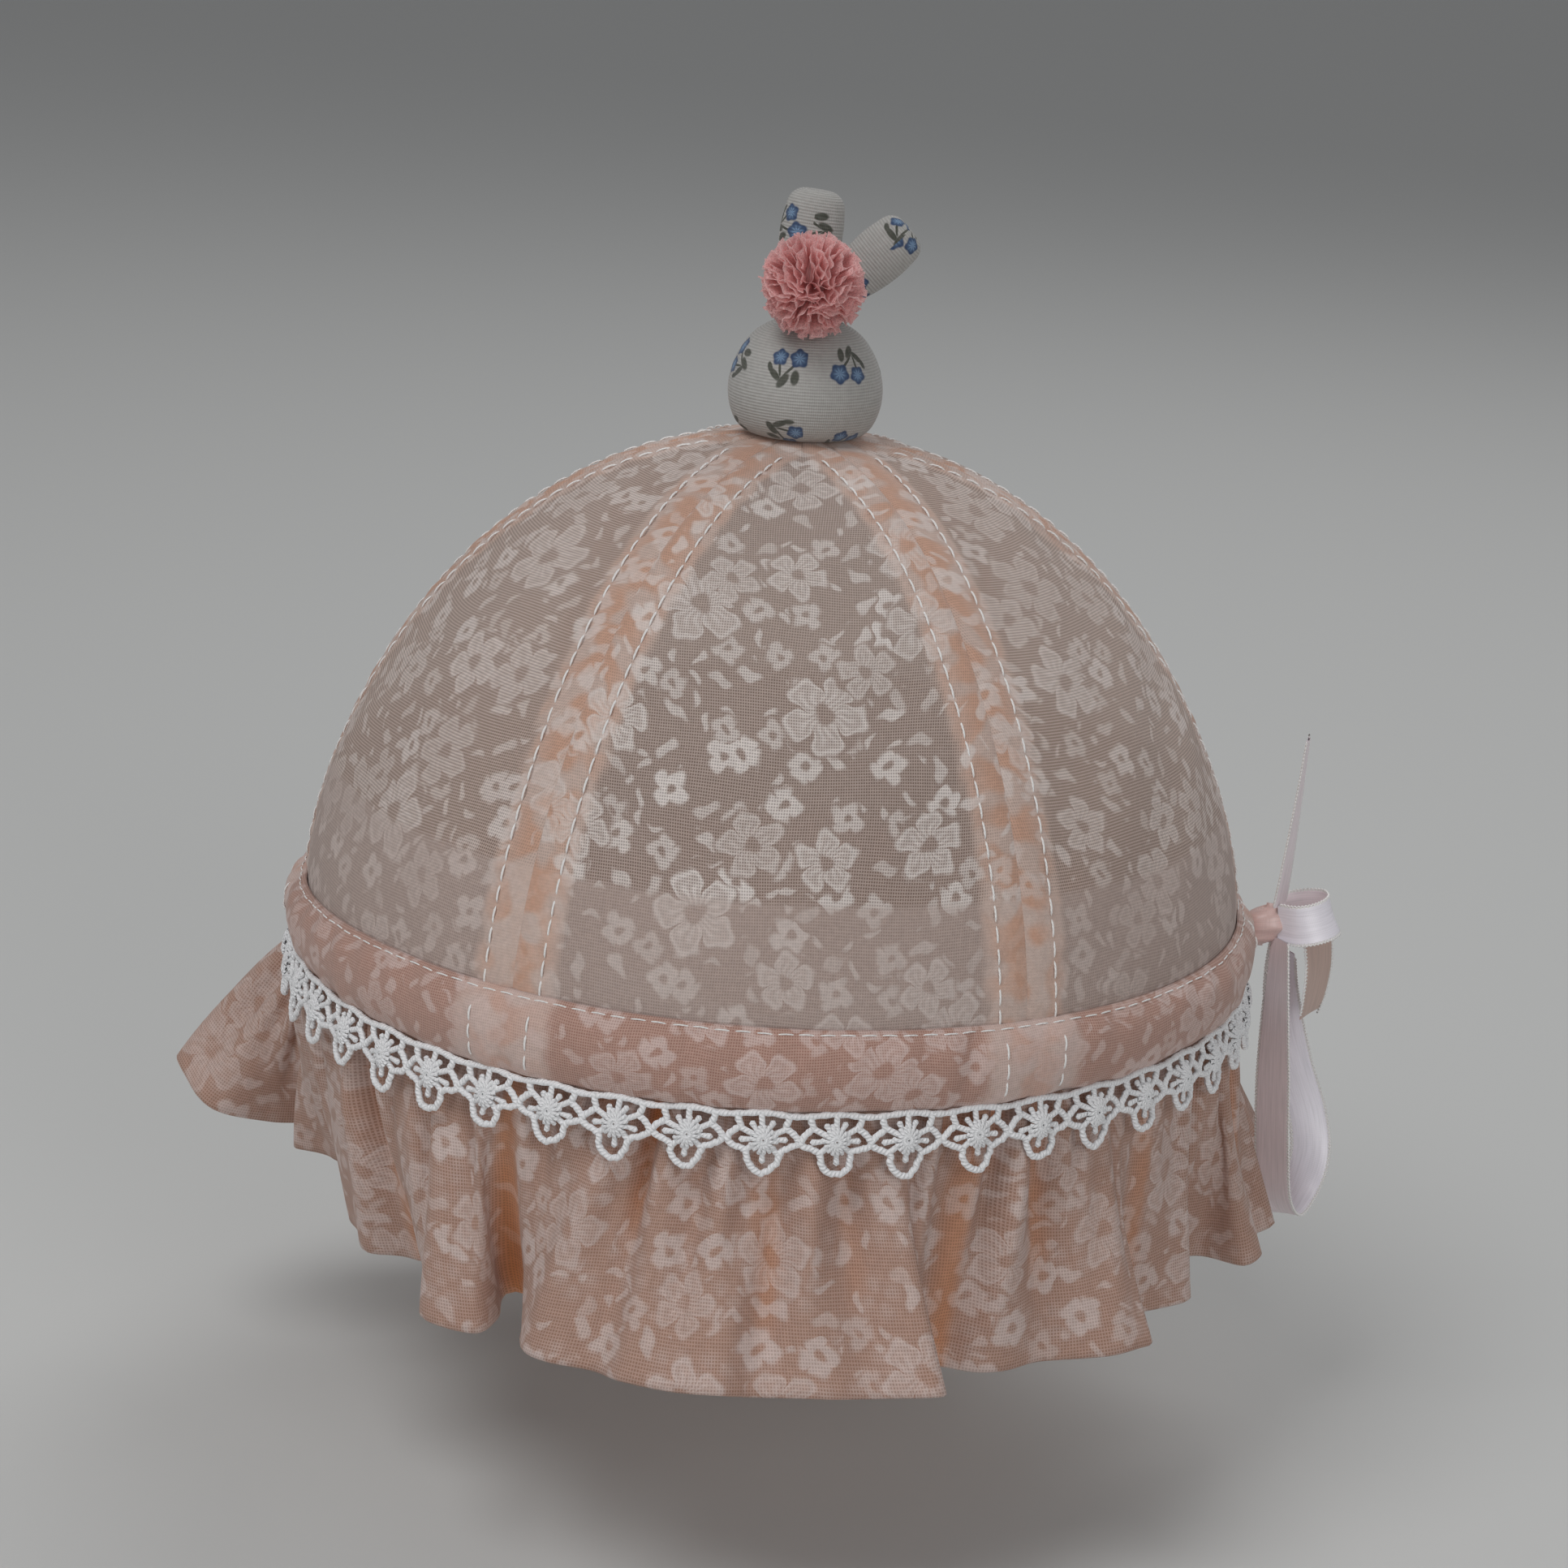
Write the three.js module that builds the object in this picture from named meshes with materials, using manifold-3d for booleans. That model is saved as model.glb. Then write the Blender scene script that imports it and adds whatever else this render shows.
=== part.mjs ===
// Baby sun cap in millimetres, +Z up: the front faces -Y and the origin is the centre of the head opening.
import * as THREE from 'three';
import { mergeVertices } from 'three/addons/utils/BufferGeometryUtils.js';
import Module from 'manifold-3d';

const wasm = await Module();
wasm.setup();

// Driving dimensions
const wall = 1;
const crown = { gores: 6, radius: 76.4, rim: 12, height: 87, sideBend: 0.913, topBend: 1.267, foot: 3, tuck: 0.8 };
const panel = { across: 6, up: 9, topAngle: 87.3, gap: 0.3 };
const seamStrip = { width: 9.5, wall: 0.8, inset: 1.6, up: 8, topAngle: 83.5, clearance: 1 };
const facing = { inset: 3, topAngle: 20, around: 48 };
const band = { inner: 76.8, around: 54 };
const lace = { motifs: 46, topRadius: 78.4, footRadius: 80.4, top: -0.4, height: 9 };
const ruffle = { radius: 75.3, top: -0.4, frontLength: 41, backLength: 37.5, samples: 118, rows: 4, hang: 1.8, gather: 11 };
const topper = { seat: 87.4, around: 16 };
const pompom = { core: 5.2, locks: 21, lockWall: 0.9 };
const ribbon = { width: 6.5 };

// Band section, foot to top: radius of the puffed outside at each height
const bandSection = [
  { height: 0, radius: 77.6 },
  { height: 2.2, radius: 79.3 },
  { height: 6.2, radius: 79.9 },
  { height: 10.2, radius: 79.2 },
  { height: 13, radius: 77.5 },
];

// Ruffle hem, one row for each turn of a fold: angle round from the front, and how far the cloth leans out
const ruffleFolds = [
  { turn: -176, lean: 6 }, { turn: -168, lean: 24 }, { turn: -159, lean: 22 }, { turn: -153, lean: 4 },
  { turn: -145, lean: 3 }, { turn: -138, lean: 26 }, { turn: -129, lean: 25 }, { turn: -124, lean: 6 },
  { turn: -117, lean: 4 }, { turn: -110, lean: 24 }, { turn: -103, lean: 36 }, { turn: -97, lean: 40 },
  { turn: -92.5, lean: 27 }, { turn: -95, lean: 12 }, { turn: -97, lean: 1 }, { turn: -93, lean: -3 },
  { turn: -89, lean: 4 }, { turn: -86, lean: -7 }, { turn: -80, lean: -11 }, { turn: -71, lean: -11 },
  { turn: -65, lean: -5 }, { turn: -57, lean: -4 }, { turn: -51, lean: -8 }, { turn: -46, lean: -10 },
  { turn: -42, lean: -3 }, { turn: -38.5, lean: 8 }, { turn: -31, lean: 6.5 }, { turn: -31.5, lean: -3 },
  { turn: -34, lean: -11 }, { turn: -30, lean: -12 }, { turn: -28, lean: -3 }, { turn: -25.5, lean: 7 },
  { turn: -16, lean: 12 }, { turn: -7, lean: 20 }, { turn: 6, lean: 17 }, { turn: 13, lean: 19 },
  { turn: 18.8, lean: 22 }, { turn: 17.4, lean: 9 }, { turn: 19, lean: 1 }, { turn: 23.5, lean: 3 },
  { turn: 35, lean: 9 }, { turn: 45.6, lean: 17.5 }, { turn: 45.5, lean: 6 }, { turn: 49, lean: -1 },
  { turn: 56, lean: 5.5 }, { turn: 60, lean: 9 }, { turn: 61.5, lean: 0 }, { turn: 67, lean: -5 },
  { turn: 72.5, lean: 2 }, { turn: 70.5, lean: 14 }, { turn: 74, lean: 17 }, { turn: 76, lean: 8 },
  { turn: 79.5, lean: 13 }, { turn: 82, lean: 18 }, { turn: 87, lean: 8 }, { turn: 93, lean: 2 },
  { turn: 100, lean: 22 }, { turn: 108, lean: 24 }, { turn: 114, lean: 5 }, { turn: 121, lean: 3 },
  { turn: 129, lean: 25 }, { turn: 138, lean: 23 }, { turn: 143, lean: 5 }, { turn: 151, lean: 4 },
  { turn: 159, lean: 25 }, { turn: 167, lean: 22 }, { turn: 174, lean: 5 },
];

// Lace repeat: the scalloped foot and the two openings, along and down from the repeat's start
const laceFoot = [[-0.25, 6.2], [-0.13, 7.9], [0, 9], [0.13, 7.9], [0.25, 6.2], [0.5, 5.3], [0.75, 6.2]];
const laceOpenings = [
  [[-0.09, 6.7], [0, 5.5], [0.09, 6.7], [0, 8.1]],
  [[0.36, 3], [0.5, 1.5], [0.64, 3], [0.5, 4.5]],
];

// Topper sections, foot to top
const ballSection = [[0, 0], [8.6, 0], [10.7, 1.3], [12.1, 4.5], [12.3, 8], [11.2, 12], [8.6, 15.8], [4.8, 18], [0, 18.8]];
const earSection = [[0, -9.8], [2.7, -8.4], [4.2, -4], [5, 1], [4.6, 5.6], [2.8, 8.7], [0, 9.8]];

// Ribbon runs: centre line points, and the direction across the ribbon at each
const ribbonRuns = {
  ribbon_loop_short: {
    centre: [[87.1, 0.6, 9.4], [90.2, -1.6, 10.8], [93.6, -0.6, 11.8], [94.6, 2, 12], [93.4, 4.6, 11.6], [90.2, 5.4, 10.4], [87.1, 3.8, 9]],
    across: [[-0.3, 0, 1], [-0.35, -0.1, 1], [-0.4, 0, 1], [-0.4, 0, 1], [-0.35, 0, 1], [-0.3, 0.1, 1], [-0.2, 0, 1]],
  },
  ribbon_loop_long: {
    centre: [[84.4, -2.8, 7.5], [84.9, -3.9, -8], [86, -4, -22], [88.4, -1.2, -34], [92, 4, -39.5], [96, 9, -34.5], [96.2, 10.4, -26], [92.4, 9.6, -13], [88.4, 8, -1], [86.2, 7, 4.4]],
    across: [[0.8, -0.6, 0]],
  },
  ribbon_tail_down: {
    centre: [[87.8, 0.8, 5.6], [89.8, 0.2, 1.6], [90.7, -0.3, -3], [91, -0.5, -7]],
    across: [[0.9, 0.4, 0.2]],
    slant: 2.4,
  },
  ribbon_tail_up: {
    centre: [[84.6, 2, 12.8], [85.2, 2, 20], [85.9, 2, 31], [86.4, 2, 42]],
    across: [[0.05, 1, 0]],
    slant: 2,
  },
};

const colours = { voile: 0xe3c3b1, peach: 0xdcb3a2, white: 0xf4f3f4, cotton: 0xe6e1da, tulle: 0xd99a99, satin: 0xeadfe6 };
const cloth = (color, roughness = 0.85) => new THREE.MeshStandardMaterial({ color, roughness, metalness: 0 });
const radians = THREE.MathUtils.degToRad;

// A point at an angle round from the front
const polar = (radius, angle, height) => new THREE.Vector3(radius * Math.sin(angle), -radius * Math.cos(angle), height);

// An indexed closed body, turned so that its faces point out
function body(points, faces) {
  let volume = 0;
  const cross = new THREE.Vector3();
  for (let i = 0; i < faces.length; i += 3) {
    volume += points[faces[i]].dot(cross.crossVectors(points[faces[i + 1]], points[faces[i + 2]]));
  }
  const order = volume < 0 ? faces.reverse() : faces;
  const geometry = new THREE.BufferGeometry().setFromPoints(points);
  geometry.setIndex(order);
  geometry.computeVertexNormals();
  return geometry;
}

// A wall between two grids of points, rows by columns; closed joins the last column to the first
function wallGeometry(outer, inner, closed) {
  const rows = outer.length;
  const cols = outer[0].length;
  const spans = closed ? cols : cols - 1;
  const at = (side, j, i) => side * rows * cols + j * cols + (i % cols);
  const faces = [];
  const quad = (a, b, c, d) => faces.push(a, b, c, a, c, d);
  for (let i = 0; i < spans; i++) {
    for (let j = 0; j < rows - 1; j++) {
      quad(at(0, j, i), at(0, j, i + 1), at(0, j + 1, i + 1), at(0, j + 1, i));
      quad(at(1, j, i), at(1, j + 1, i), at(1, j + 1, i + 1), at(1, j, i + 1));
    }
    quad(at(1, 0, i), at(1, 0, i + 1), at(0, 0, i + 1), at(0, 0, i));
    quad(at(0, rows - 1, i), at(0, rows - 1, i + 1), at(1, rows - 1, i + 1), at(1, rows - 1, i));
  }
  for (let j = 0; j < rows - 1 && !closed; j++) {
    quad(at(0, j, 0), at(0, j + 1, 0), at(1, j + 1, 0), at(1, j, 0));
    quad(at(1, j, cols - 1), at(1, j + 1, cols - 1), at(0, j + 1, cols - 1), at(0, j, cols - 1));
  }
  return body([...outer.flat(), ...inner.flat()], faces);
}

// Crown outline at an angle up from the rim, moved in by an inset along its normal; a negative angle is the foot
function crownAt(angle, inset) {
  if (angle < 0) {
    return { radius: crown.radius - crown.tuck - inset, height: crown.foot };
  }
  const line = (a) => new THREE.Vector2(
    crown.radius * Math.cos(a) ** crown.sideBend,
    crown.rim + (crown.height - crown.rim) * Math.sin(a) ** crown.topBend,
  );
  const along = line(angle + 0.01).sub(line(Math.max(angle - 0.01, 0))).normalize();
  const point = line(angle);
  return { radius: point.x - inset * along.y, height: point.y + inset * along.x };
}

// Crown angles from the foot up to a top angle
const crownRows = (topAngle, up) => [-1, ...Array.from({ length: up + 1 }, (_, j) => radians(topAngle) * j / up)];

// One gore, a sixth of the crown
function panelGeometry() {
  const half = Math.PI / crown.gores;
  const side = (inset) => crownRows(panel.topAngle, panel.up).map((angle) => {
    const { radius, height } = crownAt(angle, inset);
    const reach = half - panel.gap / 2 / crownAt(angle, wall).radius;
    return Array.from({ length: panel.across + 1 }, (_, i) => polar(radius, reach * (2 * i / panel.across - 1), height));
  });
  return wallGeometry(side(0), side(wall), false);
}

// The doubled cloth behind one seam, narrowing where the seams meet at the top
function seamStripGeometry() {
  const side = (inset) => crownRows(seamStrip.topAngle, seamStrip.up).map((angle) => {
    const { radius, height } = crownAt(angle, inset);
    const room = 2 * Math.PI * radius / crown.gores - seamStrip.clearance;
    const reach = Math.min(seamStrip.width, room) / 2 / radius;
    return [-reach, reach].map((turn) => polar(radius, turn, height));
  });
  return wallGeometry(side(seamStrip.inset), side(seamStrip.inset + seamStrip.wall), false);
}

// A ring whose outside and inside follow two lists of radius and height
function ringGeometry(outside, inside, around) {
  const grid = (section) => section.map(({ radius, height }) => (
    Array.from({ length: around }, (_, i) => polar(radius, 2 * Math.PI * i / around, height))
  ));
  return wallGeometry(grid(outside), grid(inside), true);
}

function facingGeometry() {
  const section = (inset) => crownRows(facing.topAngle, 1).map((angle) => crownAt(angle, inset));
  return ringGeometry(section(facing.inset), section(facing.inset + wall), facing.around);
}

function bandGeometry() {
  const inside = bandSection.map(({ height }) => ({ radius: band.inner, height }));
  return ringGeometry(bandSection, inside, band.around);
}

// The lace repeat, cut through by its openings and wrapped round the head once for each motif
function laceGeometry() {
  const pitch = 2 * Math.PI / lace.motifs;
  const vector = ([along, down]) => new THREE.Vector2(along, -down);
  const contour = [...laceFoot.map(vector), new THREE.Vector2(0.75, 0), new THREE.Vector2(0.25, 0), new THREE.Vector2(-0.25, 0)];
  const holes = laceOpenings.map((opening) => opening.map(vector));
  const cells = THREE.ShapeUtils.triangulateShape(contour, holes);
  const flat = [...contour, ...holes.flat()];
  const points = [];
  const faces = [];
  for (let motif = 0; motif < lace.motifs; motif++) {
    const start = points.length;
    for (const inset of [0, wall]) {
      for (const { x, y } of flat) {
        const radius = THREE.MathUtils.lerp(lace.topRadius, lace.footRadius, -y / lace.height);
        points.push(polar(radius - inset, pitch * (motif + x), lace.top + y));
      }
    }
    for (const [a, b, c] of cells) {
      faces.push(start + a, start + b, start + c, start + flat.length + c, start + flat.length + b, start + flat.length + a);
    }
    const edge = (a, b) => {
      const [c, d] = [a + flat.length, b + flat.length];
      faces.push(start + a, start + d, start + b, start + a, start + c, start + d);
    };
    const last = laceFoot.length - 1;
    for (let i = 0; i < contour.length; i++) {
      const next = (i + 1) % contour.length;
      if (i !== last && next !== 0) {
        edge(i, next);
      }
    }
    let first = contour.length;
    for (const hole of holes) {
      hole.forEach((_, i) => edge(first + i, first + (i + 1) % hole.length));
      first += hole.length;
    }
  }
  const geometry = body(points, faces);
  geometry.deleteAttribute('normal');
  return mergeVertices(geometry, 1e-3);
}

// The frill: its hem runs through the fold rows, its top is gathered evenly, and the folds open as it hangs
function ruffleGeometry() {
  const length = (turn) => THREE.MathUtils.lerp(ruffle.backLength, ruffle.frontLength, (1 + Math.cos(turn)) / 2);
  const rows = ruffleFolds.map(({ turn, lean }) => {
    const [angle, tilt] = [radians(turn), radians(lean)];
    return polar(ruffle.radius + length(angle) * Math.sin(tilt), angle, ruffle.top - length(angle) * Math.cos(tilt));
  });
  const hem = new THREE.CatmullRomCurve3(rows, true, 'centripetal').getSpacedPoints(ruffle.samples).slice(0, ruffle.samples);
  const turns = hem.map((p) => Math.atan2(p.x, -p.y));
  const near = (i) => turns[((i % ruffle.samples) + ruffle.samples) % ruffle.samples];
  const seamTurns = turns.map((turn, i) => {
    let total = 0;
    for (let step = -ruffle.gather; step <= ruffle.gather; step++) {
      const away = near(i + step) - turn;
      total += away - 2 * Math.PI * Math.round(away / (2 * Math.PI));
    }
    return turn + total / (2 * ruffle.gather + 1);
  });
  const middle = Array.from({ length: ruffle.rows + 1 }, (_, j) => hem.map((p, i) => {
    const down = 1 - j / ruffle.rows;
    const away = turns[i] - seamTurns[i];
    const turn = seamTurns[i] + down * (away - 2 * Math.PI * Math.round(away / (2 * Math.PI)));
    const radius = ruffle.radius + down ** ruffle.hang * (Math.hypot(p.x, p.y) - ruffle.radius);
    return polar(radius, turn, ruffle.top + down * (p.z - ruffle.top));
  }));
  const offset = (amount) => middle.map((row, j) => row.map((p, i) => {
    const before = row[(i + ruffle.samples - 1) % ruffle.samples];
    const after = row[(i + 1) % ruffle.samples];
    const low = middle[Math.max(j - 1, 0)][i];
    const high = middle[Math.min(j + 1, ruffle.rows)][i];
    const normal = after.clone().sub(before).cross(high.clone().sub(low)).normalize();
    return p.clone().addScaledVector(normal, amount);
  }));
  return wallGeometry(offset(wall / 2), offset(-wall / 2), true);
}

// A round body from a section of radius and height pairs
function turnedGeometry(section) {
  const profile = section.map(([radius, height]) => new THREE.Vector2(radius, height));
  return new THREE.LatheGeometry(profile, topper.around).rotateX(Math.PI / 2);
}

// A closed mesh as a solid that can be joined to others
function solid(geometry) {
  const bare = geometry.clone();
  bare.deleteAttribute('normal');
  bare.deleteAttribute('uv');
  const merged = mergeVertices(bare, 1e-4);
  return new wasm.Manifold(new wasm.Mesh({
    numProp: 3,
    vertProperties: new Float32Array(merged.attributes.position.array),
    triVerts: new Uint32Array(merged.index.array),
  }));
}

// Fan-shaped locks of folded net spread over a round head and joined to it
function pompomGeometry() {
  const fan = new THREE.Shape([[2, -0.7], [6.4, -2], [8, -1.5], [8.3, 0.3], [7.5, 1.9], [2, 0.7]].map(([x, y]) => new THREE.Vector2(x, y)));
  let whole = solid(new THREE.SphereGeometry(pompom.core, 12, 8));
  for (let i = 0; i < pompom.locks; i++) {
    const rise = 1 - 1.94 * (i + 0.5) / pompom.locks;
    const turn = i * Math.PI * (3 - Math.sqrt(5));
    const spread = Math.sqrt(1 - rise * rise);
    const out = new THREE.Vector3(spread * Math.cos(turn), spread * Math.sin(turn), rise);
    const lock = new THREE.ExtrudeGeometry(fan, { depth: pompom.lockWall, bevelEnabled: false });
    lock.translate(0, 0, -pompom.lockWall / 2).rotateX(i * 1.9);
    lock.applyQuaternion(new THREE.Quaternion().setFromUnitVectors(new THREE.Vector3(1, 0, 0), out));
    whole = whole.add(solid(lock));
  }
  const mesh = whole.getMesh();
  const geometry = new THREE.BufferGeometry();
  geometry.setAttribute('position', new THREE.BufferAttribute(new Float32Array(mesh.vertProperties), mesh.numProp));
  geometry.setIndex([...mesh.triVerts]);
  geometry.computeVertexNormals();
  return geometry;
}

// A flat ribbon along a curve; slant cuts its far end at an angle
function ribbonGeometry({ centre, across, slant = 0 }, steps) {
  const vector = (p) => new THREE.Vector3(...p);
  const line = new THREE.CatmullRomCurve3(centre.map(vector));
  const widths = across.length > 1 ? new THREE.CatmullRomCurve3(across.map(vector)) : null;
  const edge = (side) => Array.from({ length: steps + 1 }, (_, k) => {
    const u = k / steps;
    const along = line.getTangent(u);
    const wide = widths ? widths.getPoint(u) : vector(across[0]);
    wide.addScaledVector(along, -wide.dot(along)).normalize();
    const face = along.clone().cross(wide).normalize();
    const row = [-1, 1].map((end) => line.getPoint(u)
      .addScaledVector(wide, end * ribbon.width / 2)
      .addScaledVector(face, side * wall / 2));
    if (k === steps) {
      row[1].addScaledVector(along, slant);
    }
    return row;
  });
  return wallGeometry(edge(1), edge(-1), false);
}

function named(name, geometry, material) {
  const mesh = new THREE.Mesh(geometry, material);
  mesh.name = name;
  return mesh;
}

const cap = new THREE.Group();

// Crown: six gores with a strip behind each seam, and the facing inside the foot
const goreNames = ['front', 'front_right', 'back_right', 'back', 'back_left', 'front_left'];
const goreGeometry = panelGeometry();
const stripGeometry = seamStripGeometry();
goreNames.forEach((place, i) => {
  const turn = 2 * Math.PI * i / crown.gores;
  const gore = named(`crown_panel_${place}`, goreGeometry, cloth(colours.voile));
  gore.rotation.z = turn;
  const strip = named(`seam_strip_${i + 1}`, stripGeometry, cloth(colours.peach));
  strip.rotation.z = turn + Math.PI / crown.gores;
  cap.add(gore, strip);
});
cap.add(named('inner_facing', facingGeometry(), cloth(colours.voile)));
cap.add(named('band', bandGeometry(), cloth(colours.peach)));
cap.add(named('lace_trim', laceGeometry(), cloth(colours.white)));
cap.add(named('ruffle', ruffleGeometry(), cloth(colours.voile)));

// Topper: stuffed ball, two lobes and the pompom in front of them
const top = new THREE.Group();
top.position.z = topper.seat;
top.add(named('topper_ball', turnedGeometry(ballSection), cloth(colours.cotton)));
const earLeft = named('topper_ear_left', turnedGeometry(earSection).scale(1, 0.6, 1), cloth(colours.cotton));
earLeft.position.set(-0.9, 6.4, 28.2);
earLeft.rotation.y = radians(6);
const earRight = named('topper_ear_right', turnedGeometry(earSection).scale(0.9, 0.56, 0.86), cloth(colours.cotton));
earRight.position.set(8.9, 2.8, 27.2);
earRight.rotation.y = radians(46);
const puff = named('pompom', pompomGeometry(), cloth(colours.tulle));
puff.position.set(0, -10.3, 25);
top.add(earLeft, earRight, puff);
cap.add(top);

// Ribbon bow on the right of the band
const knot = named('ribbon_knot', new THREE.SphereGeometry(1, 14, 8).scale(3, 2.6, 3.1), cloth(colours.satin, 0.4));
knot.position.set(83.4, 2, 9);
cap.add(knot);
for (const [name, run] of Object.entries(ribbonRuns)) {
  cap.add(named(name, ribbonGeometry(run, 2 * run.centre.length), cloth(colours.satin, 0.4)));
}

export default cap;
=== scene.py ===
import bpy
import numpy as np
from mathutils import Matrix


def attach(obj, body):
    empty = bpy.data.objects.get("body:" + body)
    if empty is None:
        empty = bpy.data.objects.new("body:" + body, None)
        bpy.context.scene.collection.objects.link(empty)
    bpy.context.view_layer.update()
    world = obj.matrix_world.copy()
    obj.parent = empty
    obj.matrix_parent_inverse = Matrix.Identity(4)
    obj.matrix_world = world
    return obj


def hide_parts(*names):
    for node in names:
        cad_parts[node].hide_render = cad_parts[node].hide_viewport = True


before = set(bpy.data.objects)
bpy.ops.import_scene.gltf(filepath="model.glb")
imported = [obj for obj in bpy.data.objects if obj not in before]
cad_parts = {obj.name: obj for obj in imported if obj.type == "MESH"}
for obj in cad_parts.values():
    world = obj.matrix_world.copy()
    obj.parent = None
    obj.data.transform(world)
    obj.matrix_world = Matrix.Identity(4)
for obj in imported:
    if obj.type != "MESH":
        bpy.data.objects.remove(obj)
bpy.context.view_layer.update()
rng = np.random.default_rng(11)
tau = 2 * np.pi
print("frame loaded:", len(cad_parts), "nodes")


# Each vector divided by its own length
def unit(vectors):
    return vectors / np.maximum(np.linalg.norm(vectors, axis=-1, keepdims=True), 1e-9)


# Point at a radius and a turn round from the front, with its height
def polar(radius, turn, height):
    return np.stack(np.broadcast_arrays(radius * np.sin(turn), -radius * np.cos(turn), height), -1)


# Cells of a grid of rows by columns: a point, its right, upper right and upper neighbours
def gridFaces(rows, cols):
    j, i = np.meshgrid(np.arange(rows - 1), np.arange(cols - 1), indexing="ij")
    corner = j * cols + i
    return np.stack([corner, corner + 1, corner + cols + 1, corner + cols], -1).reshape(-1, 4)


# The same cells for many equal grids, each grid's points after the last
def repeatFaces(faces, count, size):
    return (faces[None] + size * np.arange(count)[:, None, None]).reshape(-1, 4)


# Smooth normals of a grid: the cross product of its steps along and up
def gridNormals(points):
    return unit(np.cross(np.gradient(points, axis=1), np.gradient(points, axis=0)))


# Distance along a run of points, from its first
def runLength(points):
    steps = np.linalg.norm(np.diff(points, axis=0), axis=-1)
    return np.concatenate([[0], np.cumsum(steps)])


# Cubic pieces through points with centripetal slopes, then evenly spaced by length
def smoothRun(points, count, closed=False):
    points = np.asarray(points, float)
    if closed:
        before, start, end, after = (np.roll(points, k, 0) for k in (1, 0, -1, -2))
    else:
        ends = np.concatenate([[2 * points[0] - points[1]], points, [2 * points[-1] - points[-2]]])
        before, start, end, after = (ends[k:len(ends) - 3 + k] for k in range(4))
    pairs = ((before, start), (start, end), (end, after))
    a, b, c = (np.sqrt(np.linalg.norm(q - p, axis=1))[:, None] for p, q in pairs)
    leave = b * ((start - before) / a - (end - before) / (a + b) + (end - start) / b)
    reach = b * ((end - start) / b - (after - start) / (b + c) + (after - end) / c)
    t = np.linspace(0, 1, 32, endpoint=False)[None, :, None]
    s, e, m, n = (v[:, None] for v in (start, end, leave, reach))
    curve = (2 * t**3 - 3 * t**2 + 1) * s + (t**3 - 2 * t**2 + t) * m
    curve = curve + (3 * t**2 - 2 * t**3) * e + (t**3 - t**2) * n
    curve = np.concatenate([curve.reshape(-1, points.shape[1]), points[:1] if closed else points[-1:]])
    along = runLength(curve)
    wanted = np.linspace(0, along[-1], count)
    return np.stack([np.interp(wanted, along, curve[:, k]) for k in range(points.shape[1])], -1)


# Sum of sines with wandering pitch: smooth irregular waves of about the given length along a run
def waves(along, length, seed):
    chance = np.random.default_rng(seed)
    total = np.zeros_like(along, float)
    for k in range(3):
        wander = chance.uniform(0.8, 1.25) * along / length
        wander = wander + 0.45 * np.sin(along / (length * chance.uniform(2.3, 4.1)) + chance.uniform(0, tau))
        total = total + np.sin(tau * wander + chance.uniform(0, tau)) / 3
    return total


# Round cords along many equal paths: a circle across the path at each point, with turn and length as
# its coordinates
def tubes(paths, outward, radius, sides):
    ahead = unit(np.gradient(paths, axis=1))
    side = unit(np.cross(ahead, outward))
    lift = np.cross(ahead, side)
    turn = np.linspace(0, tau, sides + 1)[:, None]
    ring = side[:, :, None] * np.cos(turn) + lift[:, :, None] * np.sin(turn)
    points = paths[:, :, None] + np.broadcast_to(radius, paths.shape[:2])[..., None, None] * ring
    steps = np.linalg.norm(np.diff(paths, axis=1), axis=-1)
    along = np.concatenate([np.zeros((len(paths), 1)), np.cumsum(steps, 1)], 1)
    uv = np.stack(np.broadcast_arrays(turn[:, 0] / tau, along[..., None]), -1)
    faces = repeatFaces(gridFaces(paths.shape[1], sides + 1), len(paths), paths.shape[1] * (sides + 1))
    return points.reshape(-1, 3), faces, uv.reshape(-1, 2)


# Several point, face and coordinate sets as one
def joined(parts):
    offsets = np.cumsum([0] + [len(p[0]) for p in parts[:-1]])
    return (np.concatenate([p[0] for p in parts]),
            np.concatenate([p[1] + k for p, k in zip(parts, offsets)]),
            np.concatenate([p[2] for p in parts]))


# A mesh object in place, from points and cloth coordinates in millimetres
def addPiece(name, points, faces, uv, material, slot, *nodes):
    mesh = bpy.data.meshes.new(name)
    mesh.from_pydata((np.reshape(points, (-1, 3)) * 0.001).tolist(), [], faces.tolist())
    layer = mesh.uv_layers.new(name="cloth")
    layer.data.foreach_set("uv", np.reshape(uv, (-1, 2))[faces.ravel()].ravel())
    mesh.polygons.foreach_set("use_smooth", np.ones(len(faces), bool))
    mesh.materials.append(material)
    piece = bpy.data.objects.new(name, mesh)
    bpy.context.scene.collection.objects.link(piece)
    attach(piece, "root")
    if nodes:
        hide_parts(*nodes)
    return piece


# One number a point, kept on the mesh for its material
def setShare(piece, name, values):
    layer = piece.data.attributes.new(name, "FLOAT", "POINT")
    layer.data.foreach_set("value", np.ravel(values).astype(np.float32))


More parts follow.
